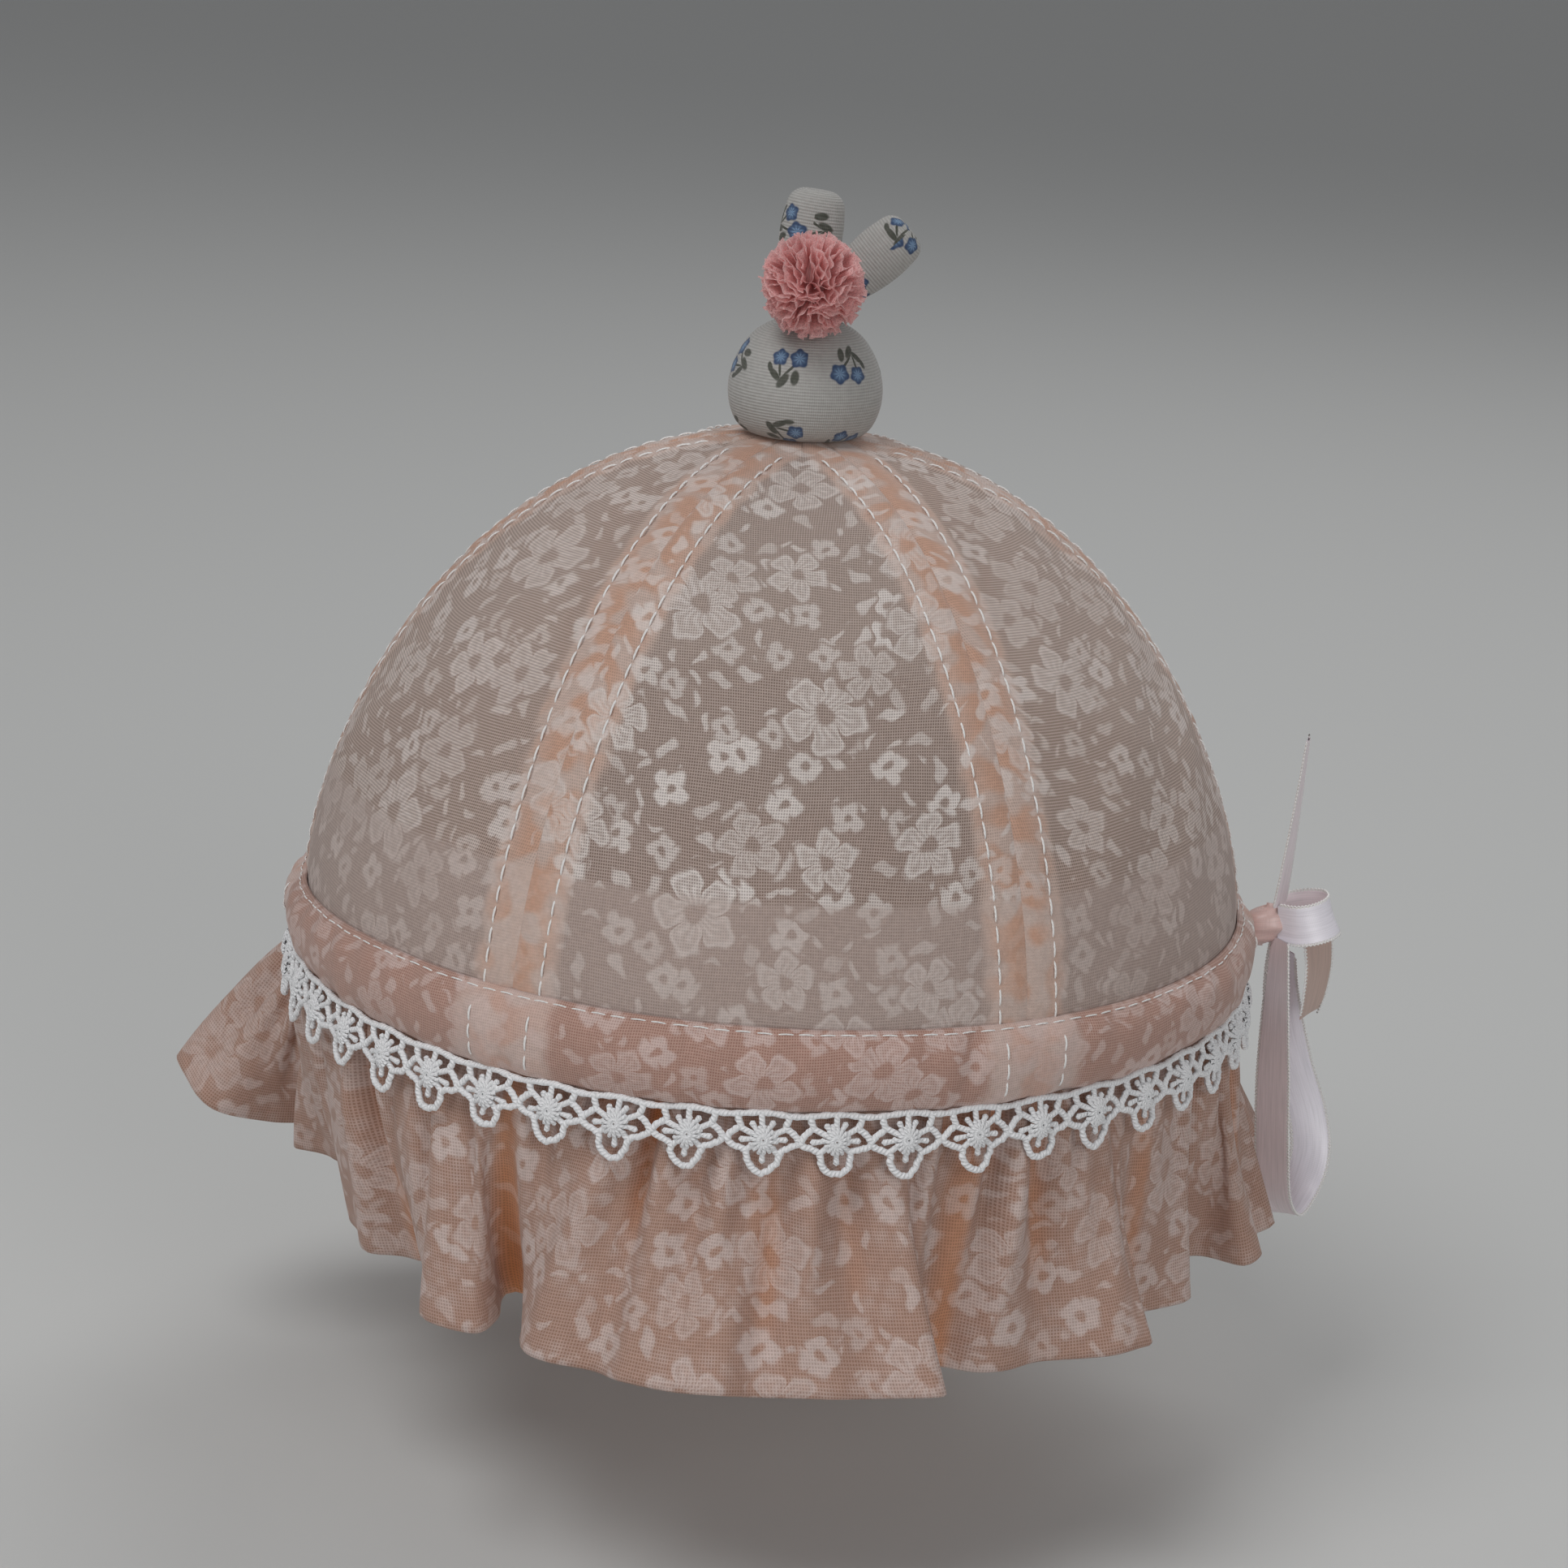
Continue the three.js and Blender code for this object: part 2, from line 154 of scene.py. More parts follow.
# A shader socket that can be reckoned with: each operator adds a Math node
class Wire:
    def __init__(self, tree, socket=None):
        self.tree = tree
        self.socket = socket

    def node(self, kind, settings, links, output=0):
        made = self.tree.nodes.new("ShaderNode" + kind)
        for key, value in settings.items():
            setattr(made, key, value)
        for key, value in links.items():
            if isinstance(value, Wire):
                self.tree.links.new(value.socket, made.inputs[key])
            else:
                made.inputs[key].default_value = value
        return Wire(self.tree, made.outputs[output])

    def other(self, output):
        return Wire(self.tree, self.socket.node.outputs[output])

    def math(self, operation, *values):
        return self.node("Math", {"operation": operation}, dict(enumerate(values)))

    def __add__(self, other):
        return self.math("ADD", self, other)

    def __radd__(self, other):
        return self.math("ADD", other, self)

    def __sub__(self, other):
        return self.math("SUBTRACT", self, other)

    def __rsub__(self, other):
        return self.math("SUBTRACT", other, self)

    def __mul__(self, other):
        return self.math("MULTIPLY", self, other)

    def __rmul__(self, other):
        return self.math("MULTIPLY", other, self)

    def __truediv__(self, other):
        return self.math("DIVIDE", self, other)

    def __pow__(self, other):
        return self.math("POWER", self, other)

    def size(self):
        return self.math("ABSOLUTE", self)

    def cos(self):
        return self.math("COSINE", self)

    def sin(self):
        return self.math("SINE", self)

    def most(self, other):
        return self.math("MAXIMUM", self, other)

    def above(self, limit):
        return self.math("GREATER_THAN", self, limit)

    def ramp(self, start, end):
        links = {"Value": self, "From Min": start, "From Max": end}
        return self.node("MapRange", {"interpolation_type": "SMOOTHSTEP"}, links)

    def part(self, axis):
        return self.node("SeparateXYZ", {}, {0: self}, axis)

    def mix(self, low, high):
        return self.node("Mix", {"data_type": "RGBA"}, {0: self, 6: low, 7: high}, 2)

    def grey(self):
        return self.node("CombineColor", {}, {0: self, 1: self, 2: self})

    def shade(self, amount):
        settings = {"data_type": "RGBA", "blend_type": "MULTIPLY"}
        return self.node("Mix", settings, {0: 1.0, 6: self, 7: amount.grey()}, 2)

    def noise(self, scale, detail=2.0):
        links = {"Vector": self, "Scale": scale, "Detail": detail}
        return self.node("TexNoise", {"noise_dimensions": "2D"}, links)

    def share(self, name):
        return self.node("Attribute", {"attribute_name": name}, {}, "Fac")

    def moved(self, x, y):
        both = self.node("CombineXYZ", {}, {0: x, 1: y})
        return self.node("VectorMath", {"operation": "ADD"}, {0: self, 1: both})

    def bump(self, height, strength):
        return self.node("Bump", {}, {"Height": self, "Distance": height, "Strength": strength})


# A new material with its surface node and its cloth coordinates
def newMaterial(name):
    material = bpy.data.materials.new(name)
    material.use_nodes = True
    tree = material.node_tree
    surface = tree.nodes["Principled BSDF"]
    cloth = Wire(tree).node("UVMap", {"uv_map": "cloth"}, {})
    return material, surface, cloth


# Links and values set on a surface node
def setSurface(surface, links):
    tree = surface.id_data
    for key, value in links.items():
        if isinstance(value, Wire):
            tree.links.new(value.socket, surface.inputs[key])
        else:
            surface.inputs[key].default_value = value


# Light passing through thin cloth: a share of translucent surface mixed in
def letThrough(surface, colour, share):
    tree = surface.id_data
    output = tree.nodes["Material Output"]
    glow = colour.node("BsdfTranslucent", {}, {"Color": colour})
    mixed = colour.node("MixShader", {}, {0: share, 1: Wire(tree, surface.outputs[0]), 2: glow})
    tree.links.new(mixed.socket, output.inputs["Surface"])


# Nearest of many scattered points: distance, turned angle, and three chances fixed for each point
def scatter(point, spacing, jitter):
    links = {"Vector": point, "Scale": 1 / spacing, "Randomness": jitter}
    centre = point.node("TexVoronoi", {"voronoi_dimensions": "2D"}, links, "Position")
    away = point.node("VectorMath", {"operation": "SUBTRACT"}, {0: point, 1: centre})
    chances = centre.other("Color").node("SeparateColor", {}, {0: centre.other("Color")})
    x, y = away.part(0), away.part(1)
    distance = (x * x + y * y) ** 0.5
    angle = point.math("ARCTAN2", y, x) + chances * tau
    return distance, angle, chances.other(1), chances.other(2)


# Spacing of the print in millimetres and how far each flower strays from its place, then the smear of its
# edges and the shares of places that stay bare or hold a leaf
floral = {"large": (15.5, 0.8), "small": (6.6, 0.75), "speck": (3.7, 0.9), "ghost": (8.0, 0.8), "smear": 0.3,
          "largeGaps": 0.22, "leafShare": 0.42, "speckGaps": 0.4}


# Flower print: flowers of many sizes where the distance is under a curve of five round petals parted by
# gaps, paler at their rims and streaks, with an open heart; small flowers of four petals, oval leaves and
# specks between them
def flowerPrint(cloth):
    x, y = cloth.part(0), cloth.part(1)
    smear = floral["smear"]
    point = cloth.moved((y * 1.7 + x * 0.4).sin() * smear, (x * 1.9 - y * 0.5).sin() * smear)
    far, angle, size, chance = scatter(point, *floral["large"])
    big = 4.4 + 2.9 * size**2
    reach = big * (0.2 + 0.8 * (angle * 2.5).cos().size()**0.36)
    petal = far.ramp(reach + 0.5, reach - 0.4) * far.ramp(0.16 * big, 0.3 * big)
    streak = ((angle * 15 + y).cos() * 0.5 + 0.5) * far.ramp(0.85 * big, 0.5 * big)
    rim = far.ramp(reach - 1.3, reach - 0.5)
    shown = chance.above(floral["largeGaps"])
    large = petal * (0.52 + 0.36 * rim.most(streak)) * (0.62 + 0.5 * chance) * shown
    clear = far.ramp(big * 0.95, big + 0.8).most(1 - shown)
    near, turn, bulk, pick = scatter(point, *floral["small"])
    wide = 2.1 + 0.8 * bulk
    curve = wide * (0.55 + 0.45 * (turn * 2).cos().size()**0.4)
    bloom = near.ramp(curve + 0.5, curve - 0.4) * near.ramp(0.15 * wide, 0.38 * wide)
    along, across = near * turn.cos() / 1.9, near * turn.sin() / 0.9
    leaf = (along * along + across * across).ramp(1.6, 0.5)
    chosen = pick.above(floral["leafShare"])
    small = (chosen * bloom + (1 - chosen) * leaf * 0.85) * (0.62 + 0.4 * bulk) * clear
    close, swing, _, keep = scatter(point, *floral["speck"])
    thin, fat = close * swing.cos() / 1.3, close * swing.sin() / 0.5
    speck = (thin * thin + fat * fat).ramp(1.7, 0.4) * keep.above(floral["speckGaps"])
    speck = speck * clear * near.ramp(wide, wide + 0.8)
    return large.most(small).most(speck * 0.75)


# Plain weave: crossed cosine rows of threads, open where both rows are low
def weave(cloth, pitch):
    x, y = cloth.part(0), cloth.part(1)
    x, y = x + (y * 0.23 + x * 0.09).sin() * 0.25, y + (x * 0.21 - y * 0.1).sin() * 0.25
    slub = cloth.noise(1.1)
    warp = (x * (tau / pitch[0])).cos() * 0.5 + 0.5
    weft = (y * (tau / pitch[1])).cos() * 0.5 + 0.5
    over = ((x * (tau / pitch[0] / 2)).cos() * (y * (tau / pitch[1] / 2)).cos()).above(0)
    thread = (warp * (0.72 + 0.28 * over)).most(weft * (1 - 0.28 * over))
    return thread, thread.ramp(0.75, 0.3), slub


# Printed voile: ground and print colours, see-through between its threads, milky where an attribute says it
# is double, plainer where it is lined, with a ghost of the layer behind, and darkened to a warm painted shade
# with a painted glow where it is creased
def voileMaterial(name, look):
    material, surface, cloth = newMaterial(name)
    flower = flowerPrint(cloth)
    thread, pore, slub = weave(cloth, look["pitch"])
    ground = look["ground"]
    solid = look["alpha"] + look["printAlpha"] * flower
    gap = pore * (1 - 0.45 * flower)
    if "milk" in look:
        double, fold, lined = (cloth.share(name) for name in ("double", "fold", "lined"))
        ground = lined.mix(ground, look["lined"])
        patch = cloth.noise(0.2, 0.0).ramp(0.36, 0.58) * (0.35 + 0.65 * fold)
        ground = double.mix(ground, patch.mix(look["milk"], look["warm"]))
        gap = gap * (1 - 0.6 * double - 0.62 * lined)
        solid = solid + look["doubleAlpha"] * double
        flower = flower * (1 - 0.3 * double - 0.56 * lined)
    if "crease" in look:
        crease = cloth.share("crease")
        far, angle, size, _ = scatter(cloth.moved(5.0, 9.0), *floral["ghost"])
        ghost = far.ramp(3.2 + size, 1.6 + 0.5 * size) * far.ramp(0.3, 1.3)
        ghost = ghost * (0.5 + 0.3 * (angle * 4).cos())
        ground = (ghost * 0.4).mix(ground, look["print"])
        # The crease colour is painted shade in the frill's folds, and the glow is painted light given off
        # from them
        ground = crease.mix(ground, look["crease"])
        flower = flower * (0.8 - 0.62 * crease)
        glow = crease.mix((0, 0, 0, 1), look["glow"])
        setSurface(surface, {"Emission Color": glow, "Emission Strength": 1.0})
    tone = flower.mix(ground, look["print"])
    tone = tone.shade(0.86 + 0.24 * slub)
    colour = (gap * look["poreShade"]).mix(tone, look["pore"])
    setSurface(surface, {
        "Base Color": colour,
        "Alpha": solid - look["poreAlpha"] * gap,
        "Roughness": 0.86 - 0.08 * flower,
        "Normal": thread.bump(0.00012, 0.4),
        "Sheen Weight": 0.25,
        "Specular IOR Level": 0.25,
    })
    letThrough(surface, colour, look["through"])
    return material


# Pitch of the voile's threads across and along, in millimetres
threads = (0.38, 0.47)
crownLook = {
    "pitch": threads, "ground": (0.575, 0.462, 0.41, 1), "print": (0.93, 0.858, 0.822, 1),
    "pore": (0.27, 0.185, 0.145, 1), "milk": (0.71, 0.55, 0.48, 1), "warm": (0.70, 0.425, 0.31, 1),
    "lined": (0.60, 0.478, 0.43, 1), "alpha": 0.88, "doubleAlpha": 0.2, "printAlpha": 0.1,
    "poreAlpha": 0.34, "poreShade": 0.78, "through": 0.2}
sideLook = {**crownLook, "ground": (0.64, 0.505, 0.44, 1), "print": (0.855, 0.758, 0.716, 1)}
seamLook = {
    "pitch": threads, "ground": (0.72, 0.50, 0.40, 1), "print": (0.84, 0.74, 0.68, 1),
    "pore": (0.5, 0.3, 0.2, 1), "alpha": 0.9, "printAlpha": 0.08, "poreAlpha": 0.25,
    "poreShade": 0.3, "through": 0.2}
bandLook = {
    "pitch": threads, "ground": (0.505, 0.32, 0.265, 1), "print": (0.66, 0.505, 0.465, 1),
    "pore": (0.22, 0.085, 0.05, 1), "milk": (0.63, 0.485, 0.435, 1), "warm": (0.61, 0.40, 0.33, 1),
    "lined": (0.54, 0.345, 0.285, 1), "alpha": 1.0, "doubleAlpha": 0.0, "printAlpha": 0.0,
    "poreAlpha": 0.0, "poreShade": 0.62, "through": 0.0}
# The frill's crease colour is a painted shade for its folds, and its glow a painted light that they give off
frillLook = {
    "pitch": threads, "ground": (0.655, 0.452, 0.372, 1), "print": (0.90, 0.785, 0.75, 1),
    "pore": (0.38, 0.17, 0.095, 1), "crease": (0.66, 0.29, 0.12, 1), "glow": (0.10, 0.036, 0.01, 1),
    "alpha": 0.96, "printAlpha": 0.03, "poreAlpha": 0.16, "poreShade": 0.55, "through": 0.3}
crownCloth = voileMaterial("crown_voile", crownLook)
sideCloth = voileMaterial("side_voile", sideLook)
seamCloth = voileMaterial("seam_voile", seamLook)
bandCloth = voileMaterial("band_voile", bandLook)
frillCloth = voileMaterial("frill_voile", frillLook)


# Twisted white cord: slanted ridges from the turn plus the length, with painted shade darkening the grooves
# between them
def cordMaterial(name, colour, pitch, strength):
    material, surface, cloth = newMaterial(name)
    ply = ((cloth.part(0) * 2 + cloth.part(1) / pitch) * tau).sin()
    fuzz = cloth.noise(9.0, 4.0)
    # Painted shade in the grooves of the twist, and a random fuzz
    tint = 0.9 + 0.05 * ply + 0.1 * fuzz
    base = tint.mix((0, 0, 0, 1), colour)
    setSurface(surface, {
        "Base Color": base,
        "Roughness": 0.72 + 0.15 * fuzz,
        "Normal": (ply + fuzz).bump(0.00012, strength),
        "Sheen Weight": 0.3,
    })
    return material


laceThread = cordMaterial("lace_thread", (0.985, 0.985, 1.0, 1), 0.6, 0.7)
sewingThread = cordMaterial("sewing_thread", (0.95, 0.93, 0.91, 1), 0.7, 0.4)


# An oval's cover: one inside, falling to nothing past its edge, from its middle, half length, half width
# and lean
def oval(x, y, shape):
    midX, midY, long, wide, lean = shape
    c, n = np.cos(np.radians(lean)), np.sin(np.radians(lean))
    along = ((x - midX) * c + (y - midY) * n) / long
    across = ((y - midY) * c - (x - midX) * n) / wide
    return (along * along + across * across).ramp(1.5, 0.65)


sprig = {
    "spacing": 12.0, "jitter": 0.2, "rib": 0.5, "thread": 0.32,
    "blooms": [(-1.7, -1.5, 1.65), (1.5, -0.7, 1.45)],
    "leaves": [(-2.0, 1.7, 1.15, 0.62, 100), (-0.4, 2.7, 1.3, 0.6, 70), (1.2, 2.2, 1.3, 0.5, 150),
               (2.4, 1.4, 0.9, 0.4, 130), (-0.9, 0.6, 1.7, 0.2, 62), (0.8, 1.0, 1.4, 0.2, 115)]}


# Sprigged cotton: fine ribs across, with pairs of blue flowers under stems and dark leaves at scattered
# points
def sprigMaterial(name):
    material, surface, cloth = newMaterial(name)
    far, angle, size, chance = scatter(cloth, sprig["spacing"], sprig["jitter"])
    angle = angle - size * tau + (chance - 0.5) * 1.2
    x, y = far * angle.cos(), far * angle.sin()
    green = None
    for shape in sprig["leaves"]:
        one = oval(x, y, shape)
        green = one if green is None else green.most(one)
    bloom = heart = None
    for midX, midY, wide in sprig["blooms"]:
        dx, dy = x - midX, y - midY
        out = (dx * dx + dy * dy) ** 0.5
        turn = cloth.math("ARCTAN2", dy, dx)
        edge = wide * (0.92 + 0.1 * (turn * 5).cos())
        one = out.ramp(edge + 0.22, edge - 0.15)
        light = out.ramp(0.9 * wide, 0.2) * (0.65 + 0.35 * (turn * 9).cos())
        bloom, heart = (one, light) if bloom is None else (bloom.most(one), heart.most(light))
    rib = (cloth.part(1) * (tau / sprig["rib"])).cos() * 0.5 + 0.5
    fine = (cloth.part(0) * (tau / sprig["thread"])).cos() * 0.5 + 0.5
    mottle = cloth.noise(0.9, 3.0)
    ground = (rib * 0.45 + mottle * 0.5).mix((0.315, 0.307, 0.29, 1), (0.505, 0.498, 0.48, 1))
    leafy = (green * (0.75 + 0.3 * mottle)).mix(ground, (0.055, 0.06, 0.045, 1))
    printed = bloom.mix(leafy, heart.mix((0.045, 0.075, 0.15, 1), (0.24, 0.37, 0.54, 1)))
    setSurface(surface, {
        "Base Color": printed,
        "Roughness": 0.9 - 0.06 * rib,
        "Normal": (rib * 0.8 + fine * 0.4 + mottle * 0.4).bump(0.00012, 0.6),
        "Sheen Weight": 0.2,
        "Specular IOR Level": 0.2,
    })
    return material


# Tulle: a net of three crossed rows of fine threads, open between them, its pink deeper and darker toward
# the pompom's core as painted shade
def tulleMaterial(name):
    material, surface, cloth = newMaterial(name)
    x, y = cloth.part(0), cloth.part(1)
    mesh = tau / 0.55
    rows = [((x * np.cos(a) + y * np.sin(a)) * mesh).cos() * 0.5 + 0.5 for a in (0, tau / 6, tau / 3)]
    net = rows[0].most(rows[1]).most(rows[2])
    drift = cloth.noise(0.7, 3.0)
    # Painted shade: darker toward the root of each fan and on the core
    tone = (drift * 0.8 + y.ramp(3.5, 8.5) * 0.5).mix((0.80, 0.36, 0.35, 1), (0.95, 0.66, 0.65, 1))
    setSurface(surface, {
        "Base Color": tone,
        "Alpha": 0.55 + 0.45 * net.ramp(0.75, 0.95),
        "Roughness": 0.7 + 0.2 * drift,
        "Normal": net.bump(0.0001, 0.5),
        "Sheen Weight": 0.5,
    })
    letThrough(surface, tone, 0.45)
    return material


# Satin ribbon: a shiny face whose pale bluish colour is partly a painted highlight, streaks along it that
# vary its roughness and paint light and dark sheen into its colour, and a dull back where an attribute says
# so
def satinMaterial(name, look):
    material, surface, cloth = newMaterial(name)
    x, y = cloth.part(0), cloth.part(1)
    dull = cloth.share("dull")
    streak = cloth.node("CombineXYZ", {}, {0: x * 3.2, 1: y * 0.12}).noise(1.0, 3.0)
    weft = (y * (tau / 0.22)).cos() * 0.5 + 0.5
    tone = dull.mix(look["shiny"], look["matt"])
    setSurface(surface, {
        # Painted sheen: light and dark streaks along the ribbon
        "Base Color": tone.shade(1.08 - 0.3 * streak),
        "Roughness": 0.22 + 0.16 * streak + 0.3 * dull,
        "Normal": (0.15 * weft + 0.5 * streak).bump(0.0001, 0.5),
        "Specular IOR Level": 0.8,
        "Sheen Weight": 0.2,
    })
    return material


sprigCotton = sprigMaterial("sprig_cotton")
pinkTulle = tulleMaterial("pink_tulle")
# The shiny face's pale bluish colour is partly the ribbon's own and partly a painted highlight
satin = satinMaterial("satin_ribbon", {"shiny": (0.95, 0.91, 0.98, 1), "matt": (0.93, 0.82, 0.85, 1)})
# A darker, warmer copy of the satin as painted shade, for the knot and the tail that hang in shade
shadedSatin = satinMaterial("satin_painted_shade", {"shiny": (0.80, 0.56, 0.52, 1), "matt": (0.58, 0.42, 0.36, 1)})
print("materials made:", len(bpy.data.materials))


# Crown
crown = {"radius": 76.4, "rim": 12, "height": 87, "sideBend": 0.913, "topBend": 1.267, "foot": 3, "tuck": 0.8,
         "gores": 6, "rows": 110, "cols": 61, "topRise": 89.3, "stitchRow": 4.9, "stitchPitch": 3.1}
lining = {"inset": 0.5, "half": 6, "topRise": 84, "facingInset": 1.3, "facingRise": 20, "facingRadius": 75}


# Crown outline: radius falls as a power of the cosine of the rise, height grows as a power of its sine;
# a rise under zero runs from the rim down to the tucked foot
def crownLine(rise):
    angle = np.radians(np.clip(rise, 0, 90))
    below = np.clip(-rise, 0, 1)
    radius = crown["radius"] * np.cos(angle) ** crown["sideBend"] - crown["tuck"] * below
    height = crown["rim"] + (crown["height"] - crown["rim"]) * np.sin(angle) ** crown["topBend"]
    height = height - (crown["rim"] - crown["foot"]) * below
    line = np.stack([radius, height], -1)
    along = unit(np.gradient(line, axis=0))
    return line, np.stack([along[:, 1], -along[:, 0]], -1), runLength(line)


# Crown surface: the outline turned round, moved out along its normal by a lift
def crownSurface(rise, turn, lift):
    line, normal, _ = crownLine(rise)
    return polar(line[:, :1] + lift * normal[:, :1], turn, line[:, 1:] + lift * normal[:, 1:])


# Cloth lift by a seam: a flat raised strip, a groove on the seam, dimples along two stitch rows, and puckers
def seamLift(fromSeam, along, seed):
    side = np.abs(fromSeam)
    strip = 0.35 / (1 + np.exp((side - 6.1) * 2.4))
    groove = -0.35 * np.exp(-(side / 0.5) ** 2)
    row = np.exp(-((side - crown["stitchRow"]) / 0.55) ** 2)
    dimple = -0.3 * row * (0.6 - 0.4 * np.cos(tau * along / crown["stitchPitch"]))
    pucker = 0.22 * waves(along + 0.4 * side, 7, seed) * np.exp(-((side - crown["stitchRow"]) / 3.2) ** 2)
    return strip + groove + dimple + pucker


goreNames = ["front", "front_right", "back_right", "back", "back_left", "front_left"]
half = np.pi / crown["gores"]


# Rises from the tucked foot to the rim, then up the crown, closer together near its top
def crownRise(below, above, top):
    return np.concatenate([np.linspace(-1, 0, below)[:-1], np.linspace(0, 1, above) ** 0.9 * top])


goreRise = crownRise(8, crown["rows"], crown["topRise"])
line, _, along = crownLine(goreRise)
local = half * np.linspace(-1, 1, crown["cols"])[None, :]
across = line[:, :1] * local
fromSeam = line[:, :1] * (half - np.abs(local))
rise = along[:, None] + 0 * local
free = np.clip(fromSeam / 14, 0, 1) * np.clip((rise - 13) / 14, 0, 1)
for k, place in enumerate(goreNames):
    ease = 0.55 * waves(across + 0.3 * rise, 42, 20 + k) + 0.35 * waves(rise - across, 31, 40 + k)
    lift = seamLift(fromSeam, rise + 40 * np.sign(local), 60 + k) + ease * free
    if place == "front_right":  # the dent that the photo shows high on this gore
        lift = lift - 0.9 * np.exp(-((rise - 82) / 5) ** 2) * np.exp(-((local - 0.3) / 0.16) ** 2)
    points = crownSurface(goreRise, local + 2 * half * k, lift)
    uv = np.stack([across + 71 * k, rise + 43 * k], -1)
    cloth = crownCloth if place == "front" else sideCloth
    faces = gridFaces(*points.shape[:2])
    gore = addPiece("gore_" + place, points, faces, uv, cloth, "voile", "crown_panel_" + place)
    ragged = fromSeam + 0.4 * waves(rise + 25 * np.sign(local), 8, 140 + k)
    lined = 1 / (1 + np.exp((goreRise[:, None] - lining["facingRise"] + 0.2 * waves(across, 30, 150)) * 9))
    setShare(gore, "double", 1 / (1 + np.exp((ragged - 6.6) * 5)))
    setShare(gore, "lined", lined)
    setShare(gore, "fold", np.exp(-((fromSeam - 1.4) / 2.6) ** 2))
    wide = 2 * half * crown["radius"] * 0.001
    along[-1] * 0.001
print("crown gores made")

# Seam allowances and facing, inside the crown
stripRise = crownRise(6, 90, lining["topRise"])
line, _, along = crownLine(stripRise)
room = np.minimum(lining["half"], half * line[:, :1] - 0.3)
for k in range(crown["gores"]):
    edge = room + 0.35 * waves(along[:, None], 9, 80 + k) * np.array([[-1, 1]])
    across = edge[:, :1] * -1 + (edge[:, :1] + edge[:, 1:]) * np.linspace(0, 1, 15)[None, :]
    turn = (2 * k + 1) * half + across / line[:, :1]
    points = crownSurface(stripRise, turn, np.full_like(turn, -lining["inset"]))
    uv = np.stack([across + 31 * k, along[:, None] + 0 * across + 17 * k], -1)
    strip = addPiece(f"seam_allowance_{k + 1}", points, gridFaces(*points.shape[:2]), uv, seamCloth,
                     "voile_seam", f"seam_strip_{k + 1}")
    along[-1] * 0.001
facingRise = np.concatenate([np.linspace(-1, 0, 6)[:-1], np.linspace(0, lining["facingRise"], 18)])
turn = np.linspace(-np.pi, np.pi, 361)[None, :]
_, _, along = crownLine(facingRise)
ripple = 0.3 * waves(turn * 76, 38, 90) * (along[:, None] / along[-1])
points = crownSurface(facingRise, turn, ripple - lining["facingInset"])
uv = np.stack([turn * lining["facingRadius"] + 0 * along[:, None], along[:, None] + 0 * turn], -1)
facing = addPiece("facing", points, gridFaces(*points.shape[:2]), uv, crownCloth, "voile", "inner_facing")
along[-1] * 0.001
print("seam allowances and facing made")

# Band: puffed casing
band = {"radius": 78.3, "middle": 6.5, "cols": 601, "section": 53}
bandOutline = [(76.9, 1.2), (77.2, 0.3), (78.1, 0.1), (79.3, 2.2), (79.9, 6.2), (79.3, 10.2), (77.9, 12.6),
               (76.55, 13.7), (76.5, 12.4), (76.7, 7)]
bandSection = smoothRun(bandOutline, band["section"], closed=True)
bandShare = np.linspace(0, 1, band["section"])
low, high = int(np.argmin(bandSection[:, 1])), int(np.argmax(bandSection[:, 1]))


# Rise of the band's foot round the head: least at the front, most at the sides
def footRise(turn):
    return 1.2 + 1.2 * np.sin(turn) ** 2 + 0.5 * np.sin(turn)


# Distance along the band from the nearest seam
def fromSeamAt(turn):
    gore = turn / (2 * half) - 0.5
    return np.abs((gore - np.round(gore)) * 2 * half * band["radius"])


# Band surface: the section turned round the head between its risen foot and its top, which sags on the
# left, with puckers that swell its outside
def bandSurface(turn, share):
    radius, height = (np.interp(share, bandShare, bandSection[:, k]) for k in range(2))
    up = height / band["middle"] - 1
    along = turn * band["radius"]
    face = np.clip((radius - 77) / 1.6, 0, 1)
    tight = 0.8 * waves(along, 9, 101) * np.exp(-((up - 0.8) / 0.45) ** 2)
    tight = tight + 0.7 * waves(along, 8, 102) * np.exp(-((up + 0.85) / 0.4) ** 2)
    loose = 0.6 * waves(along + 6 * up, 27, 103)
    fromSeam = fromSeamAt(turn)
    bulk = 0.4 / (1 + np.exp((fromSeam - 5.4) * 2.5)) - 0.3 * np.exp(-(fromSeam / 0.5) ** 2)
    pinch = -0.95 * np.exp(-((along - 30 - 1.5 * up) / 1.3) ** 2)
    swell = face * 0.6 * (tight + loose + bulk + pinch)
    sag = 3.0 * np.exp(-((turn + 1.6) / 0.45) ** 2)
    lowest, highest = bandSection[low, 1] + footRise(turn), bandSection[high, 1] - sag
    height = lowest + (height - bandSection[low, 1]) / np.ptp(bandSection[:, 1]) * (highest - lowest)
    return polar(radius + swell, turn, height + 0.25 * face * waves(along, 33, 104))


# Share of the section at a height on its outside
def outsideAt(height):
    return np.interp(height, bandSection[low:high + 1, 1], bandShare[low:high + 1])


turn = np.linspace(-np.pi, np.pi, band["cols"])[None, :]
points = bandSurface(turn, bandShare[:, None])
section = runLength(bandSection)
uv = np.stack(np.broadcast_arrays(turn * band["radius"] + 11, section[:, None]), -1)
casing = addPiece("band_casing", points, gridFaces(*points.shape[:2]), uv, bandCloth, "voile_band", "band")
fromSeam = fromSeamAt(turn)
ragged = fromSeam + 0.5 * waves(section[:, None] + 40 * turn, 9, 106)
setShare(casing, "double", 1 / (1 + np.exp((ragged - 8.2) * 3)))
setShare(casing, "fold", np.exp(-((fromSeam - 1.4) / 2.6) ** 2) + 0 * section[:, None])
print("band made")

# Stitches: short arched threads in rows
stitch = {"length": 2.75, "bandLength": 2.6, "bandPitch": 3.0, "radius": 0.16, "edgeRadius": 0.115,
          "points": 7, "edgeHeight": 13.0}
arch = np.linspace(0, 1, stitch["points"])


